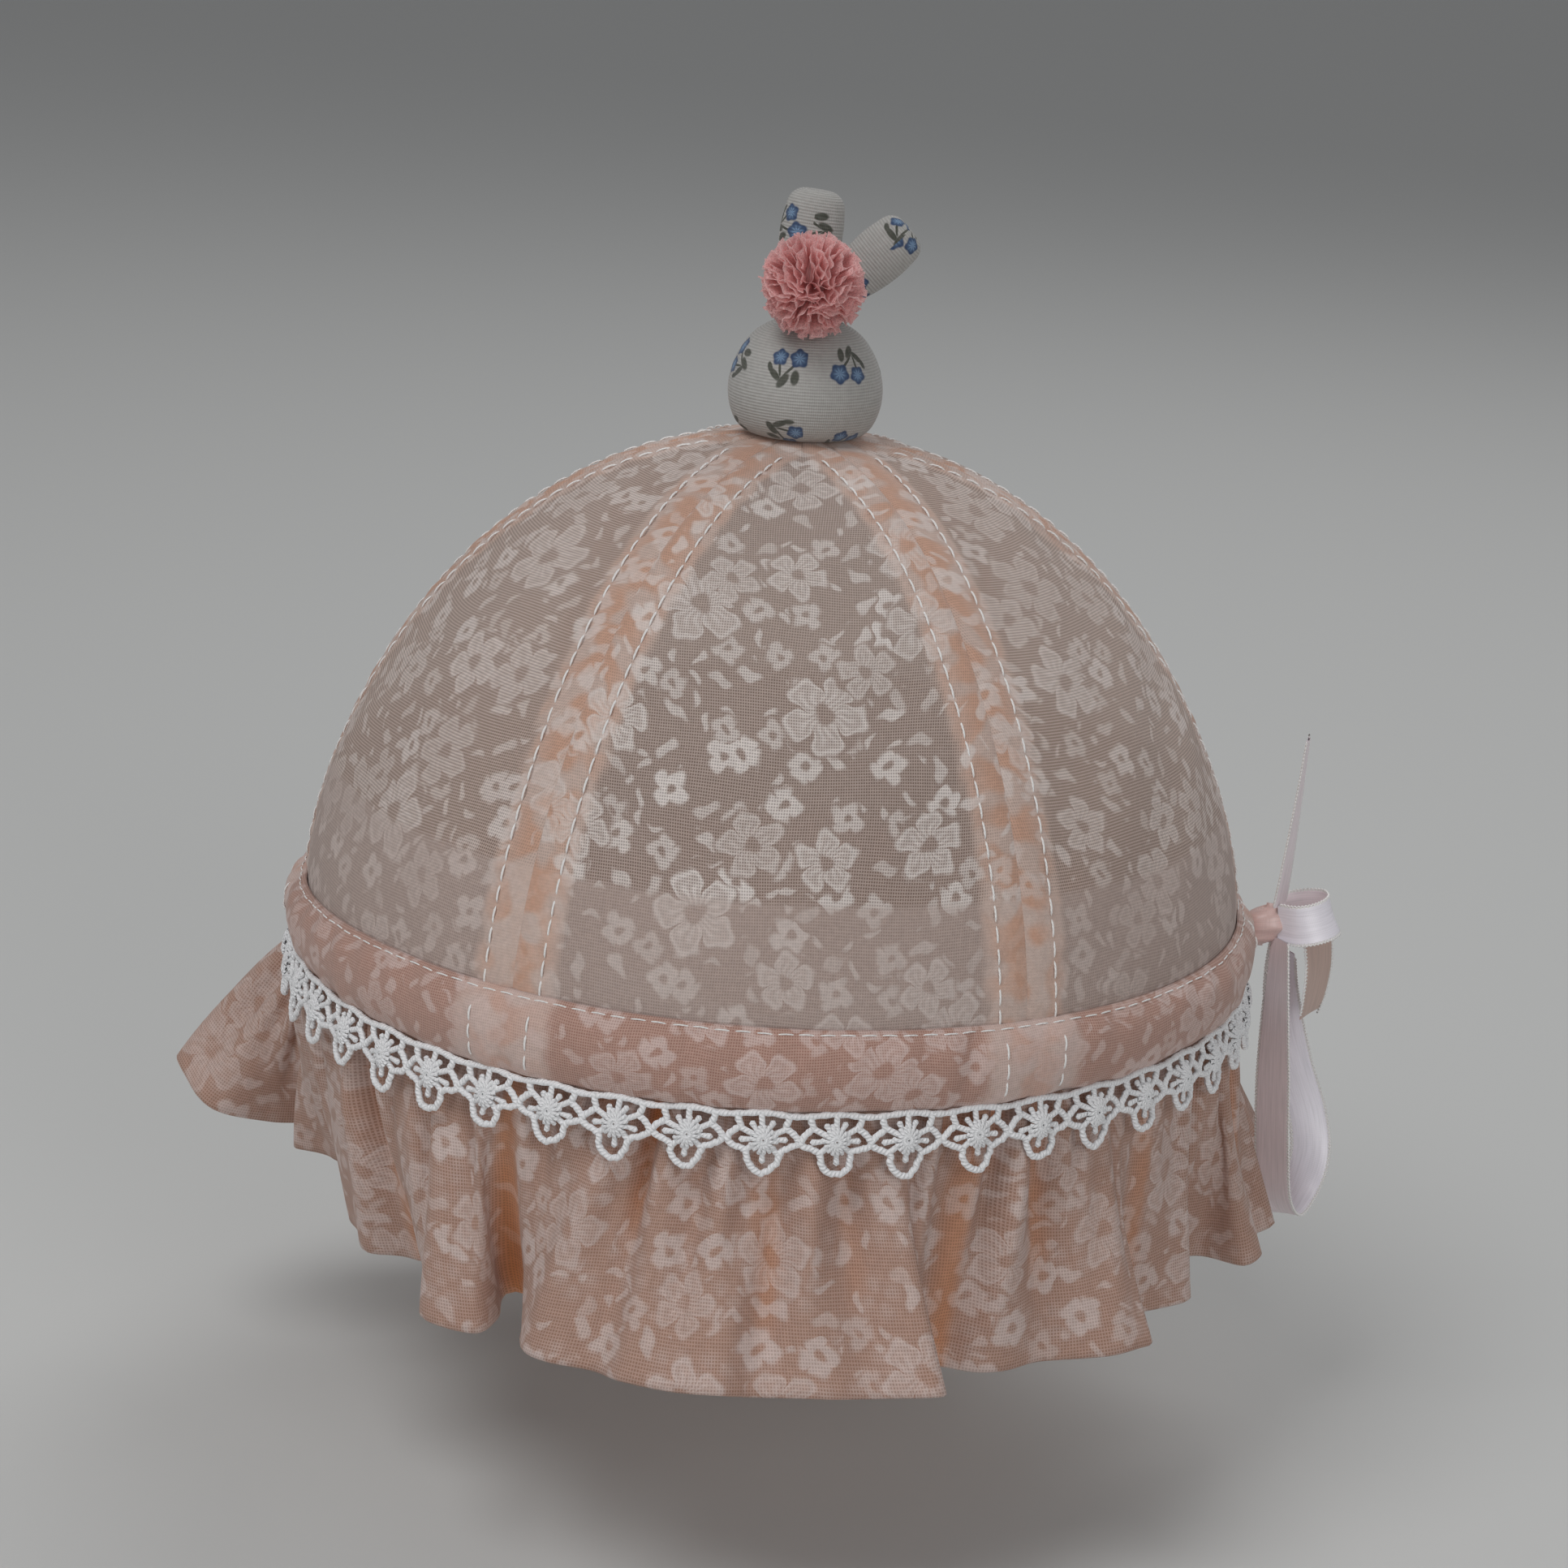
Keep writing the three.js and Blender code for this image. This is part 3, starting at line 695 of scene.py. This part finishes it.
# Stitches along a run: threads that rise and dip into the cloth as half a sine, one each pitch
def stitches(run, outward, pitch, length, thick):
    along = runLength(run)
    starts = np.arange(0.4, along[-1] - length, pitch)
    starts = starts + rng.uniform(-0.12, 0.12, len(starts))
    at = starts[:, None] + length * arch[None, :]
    path = np.stack([np.interp(at, along, run[:, k]) for k in range(3)], -1)
    normal = unit(np.stack([np.interp(at, along, outward[:, k]) for k in range(3)], -1))
    path = path + normal * (0.24 * np.sin(np.pi * arch) - 0.12)[None, :, None]
    radius = thick * np.clip(3 * np.sin(np.pi * arch) + 0.15, 0, 1)
    return tubes(path, normal, radius[None, :], 7)


rows = []
sewRise = np.linspace(1.5, 80.5, 200)
line, normal, along = crownLine(sewRise)
for k in range(crown["gores"]):
    for side in (-1, 1):
        turn = (2 * k + 1) * half + side * crown["stitchRow"] / line[:, 0]
        outward = polar(normal[:, 0], turn, normal[:, 1])
        run = polar(line[:, 0], turn, line[:, 1]) + 0.34 * outward
        rows.append(stitches(run, outward, crown["stitchPitch"], stitch["length"], stitch["radius"]))
addPiece("seam_stitches", *joined(rows), sewingThread, "lace")
turn = np.linspace(-np.pi, np.pi, 1601)
outward = polar(np.full_like(turn, 0.75), turn, 0.65)
run = bandSurface(turn, np.full_like(turn, outsideAt(stitch["edgeHeight"]))) + 0.03 * outward
rows = [stitches(run, outward, crown["stitchPitch"], stitch["bandLength"], stitch["edgeRadius"])]
height = np.linspace(1.2, 12.2, 60)
for k in range(crown["gores"]):
    for side in (-1, 1):
        turn = (2 * k + 1) * half + side * crown["stitchRow"] / band["radius"] + 0 * height
        turn = (turn + np.pi) % tau - np.pi
        outward = polar(np.ones_like(turn), turn, (height - 6) / 12)
        run = bandSurface(turn, outsideAt(height)) + 0.06 * outward
        rows.append(stitches(run, outward, stitch["bandPitch"], stitch["bandLength"], stitch["radius"]))
addPiece("band_stitches", *joined(rows), sewingThread, "lace")
print("stitches made")

# Lace: corded flowers under a header
lace = {"motifs": 46, "topRadius": 78.3, "footRadius": 79.9, "top": 0.5, "height": 9.5, "middle": 4.2,
        "cord": 0.52, "header": 0.51, "rays": 15}
laceOutline = [(-3.7, 0.5), (-3.7, 1.6), (-3.35, 2.6), (-4.1, 3.2), (-4.95, 4.1), (-5.2, 4.8), (-4.4, 5.4),
               (-3.1, 5.8), (-2.35, 6.3), (-2.2, 7.3), (-1.6, 8.5), (-0.8, 9.1), (0, 9.3)]
laceWebs = [(0, 3.5), (-65, 3.7), (65, 3.7), (-132, 3.1), (132, 3.1)]
laceBars = [(-33, 2.9), (33, 2.9), (-99, 3.7), (99, 3.7), (180, 3.7)]


# Lace place: along turns round the head, down drops the height and eases out, and out lifts off the strip
def lacePlace(along, down, out):
    pitch = tau / lace["motifs"]
    radius = lace["topRadius"] + (lace["footRadius"] - lace["topRadius"]) * down / lace["height"] + out
    return polar(radius, pitch * along, lace["top"] + footRise(pitch * along) - down)


motif = np.arange(lace["motifs"])[:, None]
pitchLength = tau * 79 / lace["motifs"]
sway = rng.uniform(-0.05, 0.05, motif.shape)
grow = rng.uniform(0.95, 1.05, motif.shape)
outline = smoothRun(laceOutline + [(-x, y) for x, y in laceOutline[-2::-1]], 84)
t = np.linspace(0, tau, 84)
x, y = outline[:, 0][None, :], outline[:, 1][None, :]
wobble = 0.14 * np.sin(t * 5 + rng.uniform(0, tau, motif.shape)) + 0.07 * np.sin(t * 17 + motif)
wobble = wobble * np.sin(t / 2)
path = lacePlace(motif + (x + sway * y + wobble) / pitchLength, 0.5 + (y - 0.5) * grow + wobble, 0.12 + 0 * x)
parts = [tubes(path, unit(path * [1, 1, 0]), lace["cord"] * (1 + 0.1 * np.sin(t * 27)), 8)]
t = np.linspace(0, 1, 9)[None, :]
for aim, reach in laceBars + laceWebs:
    lean = np.radians(aim + rng.uniform(-6, 6, motif.shape))
    out = 1.0 + (reach * rng.uniform(0.95, 1.05, motif.shape) - 1.0) * t
    x, y = out * np.sin(lean), lace["middle"] - out * np.cos(lean)
    path = lacePlace(motif + (x + sway * y) / pitchLength, y, 0.45 - 0.3 * t)
    knob = (0.36 + 0.26 * t**3) * np.sqrt(np.clip(1 - (2 * t - 1) ** 6, 0.02, 1))
    if (aim, reach) in laceWebs:
        knob = 0.46 + 0 * t
    parts.append(tubes(path, unit(path * [1, 1, 0]), knob, 7))
for aim in np.linspace(0, tau, lace["rays"], endpoint=False):
    out = np.linspace(0.06, 1, 6)[None, :] * rng.uniform(0.9, 1.12, motif.shape)
    x, y = 1.85 * out * np.sin(aim + 0.1 * out), lace["middle"] - 2.15 * out * np.cos(aim + 0.1 * out)
    dome = 0.3 + 0.85 * np.sqrt(np.clip(1.1 - out**2, 0, 1))
    path = lacePlace(motif + (x + sway * y) / pitchLength, y, dome)
    parts.append(tubes(path, unit(path * [1, 1, 0]), np.linspace(0.2, 0.34, 6)[None, :], 6))
t = np.linspace(0, lace["motifs"], 1400)[None, :]
path = lacePlace(t, 0.75 - 0.22 * np.cos(tau * t), 0.1 + 0 * t)
parts.append(tubes(path, unit(path * [1, 1, 0]), lace["header"] + 0.06 * np.sin(tau * 5 * t), 8))
trim = addPiece("lace_flowers", *joined(parts), laceThread, "lace", "lace_trim")
print("lace made:", len(trim.data.polygons), "faces")

# Ruffle: doubled frill with the folds of its hem
ruffle = {
    "radius": 75.3, "top": 1.2, "seam": -0.4, "frontLength": 41, "backLength": 37.5, "drop": 40,
    "around": 701, "down": 46, "hang": 1.45, "cover": 0.24, "window": 0.195, "layer": 0.7, "puff": 2.7,
    "pleat": 5.6, "tuck": 1.2, "look": 9}
# Turn round the head and lean out of each fold at the hem, in degrees
foldRows = np.array([
    (-176, 6), (-168, 24), (-159, 22), (-153, 4), (-145, 3), (-138, 26), (-129, 25), (-124, 6),
    (-117, 4), (-110, 24), (-103, 36), (-97, 40), (-92.5, 27), (-95, 12), (-97, 1), (-93, -3),
    (-89, 4), (-86, -7), (-80, -11), (-71, -11), (-65, -5), (-57, -4), (-51, -8), (-46, -10),
    (-42, -3), (-38.5, 8), (-31, 6.5), (-31.5, -3), (-34, -11), (-30, -12), (-28, -3), (-25.5, 7),
    (-16, 12), (-7, 20), (6, 17), (13, 19), (18.8, 22), (17.4, 9), (19, 1), (23.5, 3),
    (35, 9), (45.6, 17.5), (45.5, 6), (49, -1), (56, 5.5), (60, 9), (61.5, 0), (67, -5),
    (72.5, 2), (70.5, 14), (74, 17), (76, 8), (79.5, 13), (82, 18), (87, 8), (93, 2),
    (100, 22), (108, 24), (114, 5), (121, 3), (129, 25), (138, 23), (143, 5), (151, 4),
    (159, 25), (167, 22), (174, 5)])


# Ruffle surface: the hem curve through the fold rows, gathered to an even top that puffs out under the
# lace, then opens as a power of the drop below it, sooner where it stands far out, with narrow valleys
# between the gathers that fade down, and soft waves where the hem runs plainly round the head
def ruffleSurface():
    foldTurn, lean = np.radians(foldRows).T
    extra = ruffle["frontLength"] - ruffle["backLength"]
    long = ruffle["backLength"] + extra * (1 + np.cos(foldTurn)) / 2
    rows = polar(ruffle["radius"] + long * np.sin(lean), foldTurn, ruffle["seam"] - long * np.cos(lean))
    hem = smoothRun(rows, ruffle["around"], closed=True)
    along = runLength(hem)
    hemTurn = np.unwrap(np.arctan2(hem[:, 0], -hem[:, 1]))
    even = hemTurn[0] + tau * np.linspace(0, 1, len(hem))
    spread = hemTurn[:-1] - even[:-1]
    reach = int(ruffle["window"] * len(spread)) // 2
    total = np.cumsum(np.concatenate([spread[-reach:], spread, spread[:reach + 1]]))
    calm = (total[2 * reach + 1:] - total[:-2 * reach - 1]) / (2 * reach + 1)
    seamTurn = even + np.concatenate([calm, calm[:1]])[:len(even)]
    drop = np.linspace(1, 0, ruffle["down"])[:, None] ** 1.1
    turn = seamTurn + drop * (hemTurn - seamTurn)
    start = ruffle["radius"] + ruffle["puff"] * (1 - np.exp(-20 * drop))
    reached = np.hypot(hem[:, 0], hem[:, 1])
    hang = ruffle["hang"] - 0.85 * np.clip((reached - 90) / 12, 0, 1)
    below = drop - ruffle["cover"]
    flare = (below + np.sqrt(below**2 + 0.001)) / 2
    radius = start + (flare / flare[0]) ** hang * (reached - start)
    top = ruffle["top"] + ruffle["tuck"] + footRise(seamTurn)
    height = top + drop * (hem[:, 2] - top)
    middle = polar(radius, turn, height)
    fade = np.clip(drop / 0.1, 0, 1) * (1 - drop) ** 1.5
    valley = 0.42 - 0.62 * waves(along, 13, 201) - 0.3 * waves(along + 5 * drop, 7, 202)
    pleat = 0.5 - ruffle["pleat"] * np.clip(valley, 0, 1.3)**1.4
    plain = np.clip(np.gradient(hemTurn, along) * ruffle["radius"], 0, 1)
    soft = plain * (3.2 * waves(along, 19, 203) + 1.3 * waves(along + 9 * drop, 11, 204))
    lift = fade * pleat + np.clip((drop - 0.12) / 0.3, 0, 1) * (1.1 - 0.6 * drop) * soft
    join = np.clip(np.minimum(along, along[-1] - along) / 6, 0, 1)
    return middle + (lift * join)[..., None] * gridNormals(middle), along, drop


outer, along, drop = ruffleSurface()
inner = outer - ruffle["layer"] * np.clip(drop[..., None] * 1.5 + 0.4, 0, 1) * gridNormals(outer)
turnUp = 0.5 * (outer[:1] + inner[:1]) - [0, 0, 0.35]
points = np.concatenate([inner[::-1], turnUp, outer])
down = np.concatenate([drop[::-1] - 2.03, -1.01 * drop[:1], -drop])
uv = np.stack(np.broadcast_arrays(0.82 * along[None, :], down * ruffle["frontLength"]), -1)
frill = addPiece("frill", points, gridFaces(*points.shape[:2]), uv, frillCloth, "voile_ruffle", "ruffle")
# Crease: how far each point lies inside the crests on both sides of it; it sets the painted shade and the
# painted glow of the frill's folds, fainter on the inner layer
spread = np.hypot(outer[..., 0], outer[..., 1])
look = ruffle["look"]
around = np.concatenate([spread[:, -look - 1:-1], spread, spread[:, 1:look + 1]], 1)
tops = np.lib.stride_tricks.sliding_window_view(around, look + 1, axis=1).max(-1)
valley = np.minimum(tops[:, :spread.shape[1]], tops[:, look:]) - spread
crease = np.clip((valley - 2.1) / 4.2, 0, 1)
crease = np.maximum(crease, crease[:1] * drop**0.4)
crease = 0.85 * np.concatenate([0.3 * crease[::-1], 0.6 * crease[:1], crease])
setShare(frill, "crease", crease)
along[-1] * 0.001
print("ruffle made:", round(along[-1]), "mm round the hem")

# Topper: stuffed ball and two lobes
topper = {"seat": 87.4, "cols": 97, "rows": 60}
ballSection = [(0.3, 0), (8.6, 0), (10.7, 1.3), (12.1, 4.5), (12.3, 8), (11.2, 12), (8.6, 15.8), (4.8, 18),
               (0.3, 18.8)]
earSection = [(0.2, -9.8), (2.7, -8.6), (4.3, -4), (5, 1), (4.9, 5.4), (4.2, 8.5), (2.5, 9.7), (0.2, 9.3)]


# Turned form: a smooth section turned round, drawn in by gathers where a weight along it says
def turned(section, flat, gather, tucks):
    run = smoothRun(np.array(section), topper["rows"])
    along = runLength(run)
    ring = np.linspace(0, tau, topper["cols"])[None, :]
    share = along[:, None] / along[-1]
    crease = gather(share) * (np.cos(ring * tucks) + 0.6 * np.cos(ring * (tucks + 3) + 1.1))
    radius = run[:, :1] * (1 + crease)
    points = np.stack([radius * np.sin(ring), -radius * flat * np.cos(ring), run[:, 1:] + 0 * ring], -1)
    return points, np.stack([ring * run[:, 0].max() * 0.9 + 0 * share, along[:, None] + 0 * ring], -1)


# Points turned about the front-to-back line by an angle, then moved
def placed(points, lean, place):
    c, s = np.cos(np.radians(lean)), np.sin(np.radians(lean))
    return points @ np.array([[c, 0, -s], [0, 1, 0], [s, 0, c]]) + np.array(place)


# Gathers of the ball: small at its foot, more at its tied top
def ballGather(share):
    return 0.016 * np.exp(-(share / 0.22) ** 2) + 0.03 * np.exp(-((share - 1) / 0.16) ** 2)


# Gathers of an ear: at its sewn foot alone
def earGather(share):
    return 0.07 * np.exp(-(share / 0.18) ** 2)


faces = gridFaces(topper["rows"], topper["cols"])
points, uv = turned(ballSection, 1, ballGather, 11)
points = placed(points, 0, (0, 0, topper["seat"]))
ball = addPiece("ball", points, faces, uv + [6, 3], sprigCotton, "cotton_print", "topper_ball")
ears = {"ear_left": {"size": (1, 1), "lean": 6, "place": (-0.9, 6.4, 28.2), "print": (2, 9)},
        "ear_right": {"size": (0.9, 0.86), "lean": 46, "place": (8.9, 2.8, 27.2), "print": (24, 31)}}
for name, ear in ears.items():
    points, uv = turned(np.array(earSection) * ear["size"], 0.62, earGather, 7)
    points = placed(points, ear["lean"], np.array(ear["place"]) + [0, 0, topper["seat"]])
    lobe = addPiece(name, points, faces, uv + ear["print"], sprigCotton, "cotton_print", "topper_" + name)
print("topper made")

# Pompom: gathered fans of tulle round a soft core
pom = {"fans": 110, "out": 9, "across": 25, "root": 2.2, "reach": 8.2, "core": 4.4, "knot": (0.1, -1, -0.22),
       "place": (0, -10.3, 112.4)}


# Fans: each spreads from the middle along its own direction, its edge folded as two sines across
def fanSurface():
    index = np.arange(pom["fans"]) + 0.5
    rise = 1 - 2 * index / pom["fans"]
    turn = index * np.pi * (3 - np.sqrt(5))
    level = np.sqrt(1 - rise**2)
    way = np.stack([level * np.cos(turn), level * np.sin(turn), rise], -1)
    knot = unit(np.array(pom["knot"]))
    first = unit(np.cross(way, np.cross(knot, way)) + 0.16 * rng.normal(size=way.shape))
    first = unit(first - (first * way).sum(-1, keepdims=True) * way)
    second = np.cross(way, first)
    across = np.linspace(-1, 1, pom["across"])[None, None, :]
    out = np.linspace(0, 1, pom["out"])[None, :, None]
    phase = rng.uniform(0, tau, (2, pom["fans"], 1, 1))
    reach = rng.uniform(0.9, 1.04, (pom["fans"], 1, 1))
    spread = across * (0.8 + 4.4 * out)
    fold = 0.55 * np.sin(1.6 * np.pi * across + phase[0]) + 0.22 * np.sin(4.7 * np.pi * across + phase[1])
    length = pom["root"] + (pom["reach"] - pom["root"]) * out * reach
    length = length * np.sqrt(np.clip(1 - (spread / 9.5) ** 2, 0.1, 1))
    way, first, second = (v[:, None, None, :] for v in (way, first, second))
    points = length[..., None] * way + spread[..., None] * first + (out**1.1 * fold)[..., None] * second
    return points, np.stack(np.broadcast_arrays(spread + 0 * length, length), -1)


points, uv = fanSurface()
faces = repeatFaces(gridFaces(pom["out"], pom["across"]), pom["fans"], pom["out"] * pom["across"])
fans = (points.reshape(-1, 3), faces, uv.reshape(-1, 2))
ring, rise = np.meshgrid(np.linspace(0, tau, 49), np.linspace(-np.pi / 2, np.pi / 2, 25))
bump = pom["core"] * (1 + 0.06 * np.sin(9 * ring) * np.cos(rise) * np.sin(7 * rise))
sphere = np.stack([np.cos(rise) * np.cos(ring), np.cos(rise) * np.sin(ring), np.sin(rise)], -1)
points = sphere * bump[..., None]
uv = np.stack([ring * 5, 2 + 0 * rise], -1)
core = (points.reshape(-1, 3), gridFaces(*ring.shape), uv.reshape(-1, 2))
points, faces, uv = joined([fans, core])
pompom = addPiece("tulle_pompom", points + np.array(pom["place"]), faces, uv, pinkTulle, "tulle", "pompom")
print("pompom made:", len(pompom.data.polygons), "faces")

# Ribbon bow
ribbon = {"half": 3.05, "thick": 0.36, "rows": 120, "picot": 0.62, "picotRadius": 0.17}
knot = {"middle": (82.2, 2, 9.3), "half": (3.6, 2.9, 3.3), "tilt": 0.12 * 3.9, "square": 0.75}
ribbonRuns = {
    "ribbon_loop_short": {
        "centre": [(84.2, 0.2, 10.2), (87.8, -2.2, 10.6), (91.4, -1.4, 11.4), (93.2, 1.2, 11.9),
                   (92.3, 4.4, 11.8), (88.8, 5.6, 11.2), (84.6, 4.2, 10.4)],
        "across": [(-0.3, 0.2, 1), (-0.3, 0.3, 1), (-0.35, 0.3, 1), (-0.4, 0.2, 1),
                   (-0.35, 0.2, 1), (-0.3, 0.3, 1), (-0.2, 0.2, 1)],
        "slant": 0, "turned": True},
    "ribbon_loop_long": {
        "centre": [(84.6, -2, 8), (84.9, -3.2, -4), (85.5, -4, -16), (86.5, -4.2, -28), (87.8, -3.4, -37),
                   (90.2, -0.4, -40.8), (92.8, 3.2, -38.4), (94.6, 5.6, -32), (93.8, 7.5, -26),
                   (90.6, 8.7, -17.6), (88, 8.4, -9), (86.6, 7, -2), (86, 5.4, 4.5)],
        "across": [(0.3, -0.95, 0), (0.55, -0.83, 0), (0.75, -0.66, 0), (0.78, -0.62, 0), (0.82, -0.57, 0.1),
                   (0.81, -0.56, 0.18), (0.85, -0.5, 0.1), (1, -0.1, 0), (1, 0.1, 0),
                   (1, 0.05, 0), (0.9, -0.3, 0), (0.7, -0.6, 0), (0.5, -0.8, 0)],
        "slant": 0, "turned": False},
    "ribbon_tail_down": {
        "centre": [(91, 1.2, 8.4), (91.6, 0.8, 3), (91.3, 0.4, -2), (90.6, 0.2, -6)],
        "across": [(0.78, 0.6, 0.1), (0.74, 0.66, 0.1), (0.68, 0.72, 0.1), (0.6, 0.8, 0.1)],
        "slant": -1.5, "turned": False},
    "ribbon_tail_up": {
        "centre": [(84.6, 2, 12.8), (85.2, 2, 20), (85.9, 2, 31), (86.4, 2, 42)],
        "across": [(0.45, 0.89, 0), (0.4, 0.92, 0), (0.3, 0.95, 0), (0.2, 0.98, 0)],
        "slant": -0.8, "turned": True}}


# A power of a wave's size that keeps its sign, which squares a round section
def squared(wave, power):
    return np.sign(wave) * np.abs(wave) ** power


# Ribbon surface: a thin flat section with round edges swept along a run, its far end cut on a slant
def ribbonSurface(run):
    centre = smoothRun(run["centre"], ribbon["rows"])
    wide = np.array(run["across"], float)
    share = np.linspace(0, 1, ribbon["rows"])
    marks = runLength(np.array(run["centre"], float))
    wide = np.stack([np.interp(share, marks / marks[-1], wide[:, k]) for k in range(3)], -1)
    ahead = unit(np.gradient(centre, axis=0))
    wide = unit(wide - (wide * ahead).sum(-1, keepdims=True) * ahead)
    face = np.cross(ahead, wide)
    along = runLength(centre)
    spot = np.linspace(-np.pi, np.pi, 41)
    across = ribbon["half"] * squared(np.cos(spot), 0.7)
    deep = ribbon["thick"] / 2 * squared(np.sin(spot), 0.4)
    cup = 0.22 * (across / ribbon["half"]) ** 2
    end = run["slant"] * np.clip((share - 0.8) / 0.2, 0, 1)[:, None] * (across / ribbon["half"] * 0.5 + 0.5)
    points = centre[:, None] + across[None, :, None] * wide[:, None]
    points = points + (deep + cup)[None, :, None] * face[:, None] + end[..., None] * ahead[:, None]
    uv = np.stack([across + 0 * along[:, None], along[:, None] + end], -1)
    dull = np.broadcast_to(deep > 0, points.shape[:2])
    edges = [(centre + side * ribbon["half"] * wide + 0.22 * face, side * wide, face) for side in (-1, 1)]
    return points, uv, dull, edges


# Picots: a small arch of thread out from the ribbon's edge at each pitch
def picots(edge, outward, face):
    along = runLength(edge)
    share = np.linspace(0, 1, 5)
    at = np.arange(0.3, along[-1] - 0.9, ribbon["picot"])[:, None] + ribbon["picot"] * share[None, :]
    runs = (edge, outward, face)
    path, out, lift = (np.stack([np.interp(at, along, v[:, k]) for k in range(3)], -1) for v in runs)
    path = path + out * (0.42 * np.sin(np.pi * share) - 0.12)[None, :, None]
    return tubes(path, lift, ribbon["picotRadius"], 6)


for name, run in ribbonRuns.items():
    points, uv, dull, edges = ribbonSurface(run)
    faces = gridFaces(*points.shape[:2])[:, ::-1]
    # The hanging tail takes the satin darkened as painted shade
    cloth = shadedSatin if name == "ribbon_tail_down" else satin
    place = name.removeprefix("ribbon_")
    strand = addPiece("satin_" + place, points, faces, uv, cloth, "satin", name)
    setShare(strand, "dull", dull ^ run["turned"])
    addPiece("picots_" + place, *joined([picots(*edge) for edge in edges]), sewingThread, "satin")
ring, rise = np.meshgrid(np.linspace(0, tau, 81), np.linspace(-np.pi / 2, np.pi / 2, 41))
tuck = 1 + 0.035 * np.sin(6 * rise + 2 * np.sin(ring)) + 0.03 * np.cos(9 * rise + ring)
c, n = squared(np.cos(ring), knot["square"]), squared(np.sin(ring), knot["square"])
wide, deep, tall = knot["half"]
points = np.stack([wide * tuck * np.cos(rise) * n, -deep * tuck * np.cos(rise) * c,
                   tall * np.sin(rise) + knot["tilt"] * n], -1) + np.array(knot["middle"])
uv = np.stack([3.1 * np.sin(rise), ring * 2.6], -1)
# The knot takes the satin darkened as painted shade
addPiece("satin_knot", points, gridFaces(*points.shape[:2]), uv, shadedSatin, "satin", "ribbon_knot")
print("ribbon made")

# Floor, light and camera
stage = {"floor": -0.082, "half": 40.0}
mesh = bpy.data.meshes.new("floor")
corners = np.array([(-1, -1, 0), (1, -1, 0), (1, 1, 0), (-1, 1, 0)]) * stage["half"] + [0, 0, stage["floor"]]
mesh.from_pydata(corners.tolist(), [], [(0, 1, 2, 3)])
floor = bpy.data.objects.new("floor", mesh)
bpy.context.scene.collection.objects.link(floor)
paint = bpy.data.materials.new("floor_paint")
paint.use_nodes = True
pale = {"Base Color": (0.63, 0.635, 0.625, 1), "Roughness": 0.7}
setSurface(paint.node_tree.nodes["Principled BSDF"], pale)
mesh.materials.append(paint)
lamps = {"key": ((-0.5, -0.6, 1.2), 0.75, 6.9), "front": ((0.6, -1.2, 0.5), 0.7, 3.5),
         "back": ((0.4, 0.8, 1.1), 1.0, 4.2), "left": ((-1.0, -0.75, 0.16), 0.6, 1.2)}
for name, (place, size, power) in lamps.items():
    lamp = bpy.data.lights.new(name, "AREA")
    lamp.shape = "DISK"
    lamp.size = size
    lamp.energy = power
    holder = bpy.data.objects.new(name, lamp)
    back = unit(np.array(place) - [0, 0, 0.03])
    side = unit(np.cross([0, 0, 1], back))
    basis = np.eye(4)
    basis[:3] = np.stack([side, np.cross(back, side), back, place], 1)
    holder.matrix_world = Matrix(basis.tolist())
    bpy.context.scene.collection.objects.link(holder)
world = bpy.data.worlds.new("studio")
world.use_nodes = True
setSurface(world.node_tree.nodes["Background"], {"Color": (0.92, 0.93, 0.95, 1), "Strength": 0.24})
bpy.context.scene.world = world
bpy.context.scene.view_settings.view_transform = "Standard"
view = {"place": (-0.00655, -0.57756, 0.19176), "yaw": 0.01267, "pitch": 0.27489, "roll": 0.06598,
        "sensor": 36, "focal": 4500 / 1932}
yaw, pitch, roll = view["yaw"], view["pitch"], view["roll"]
ahead = np.array([np.sin(yaw) * np.cos(pitch), np.cos(yaw) * np.cos(pitch), -np.sin(pitch)])
level = np.array([np.cos(yaw), -np.sin(yaw), 0])
upright = np.cross(level, ahead)
basis = np.eye(4)
basis[:3, 0] = np.cos(roll) * level + np.sin(roll) * upright
basis[:3, 1] = np.cos(roll) * upright - np.sin(roll) * level
basis[:3, 2] = -ahead
basis[:3, 3] = view["place"]
camera = bpy.data.objects.new("camera", bpy.data.cameras.new("camera"))
camera.data.sensor_width = view["sensor"]
camera.data.lens = view["sensor"] * view["focal"]
camera.data.clip_start = 0.01
camera.matrix_world = Matrix(basis.tolist())
bpy.context.scene.collection.objects.link(camera)
bpy.context.scene.camera = camera
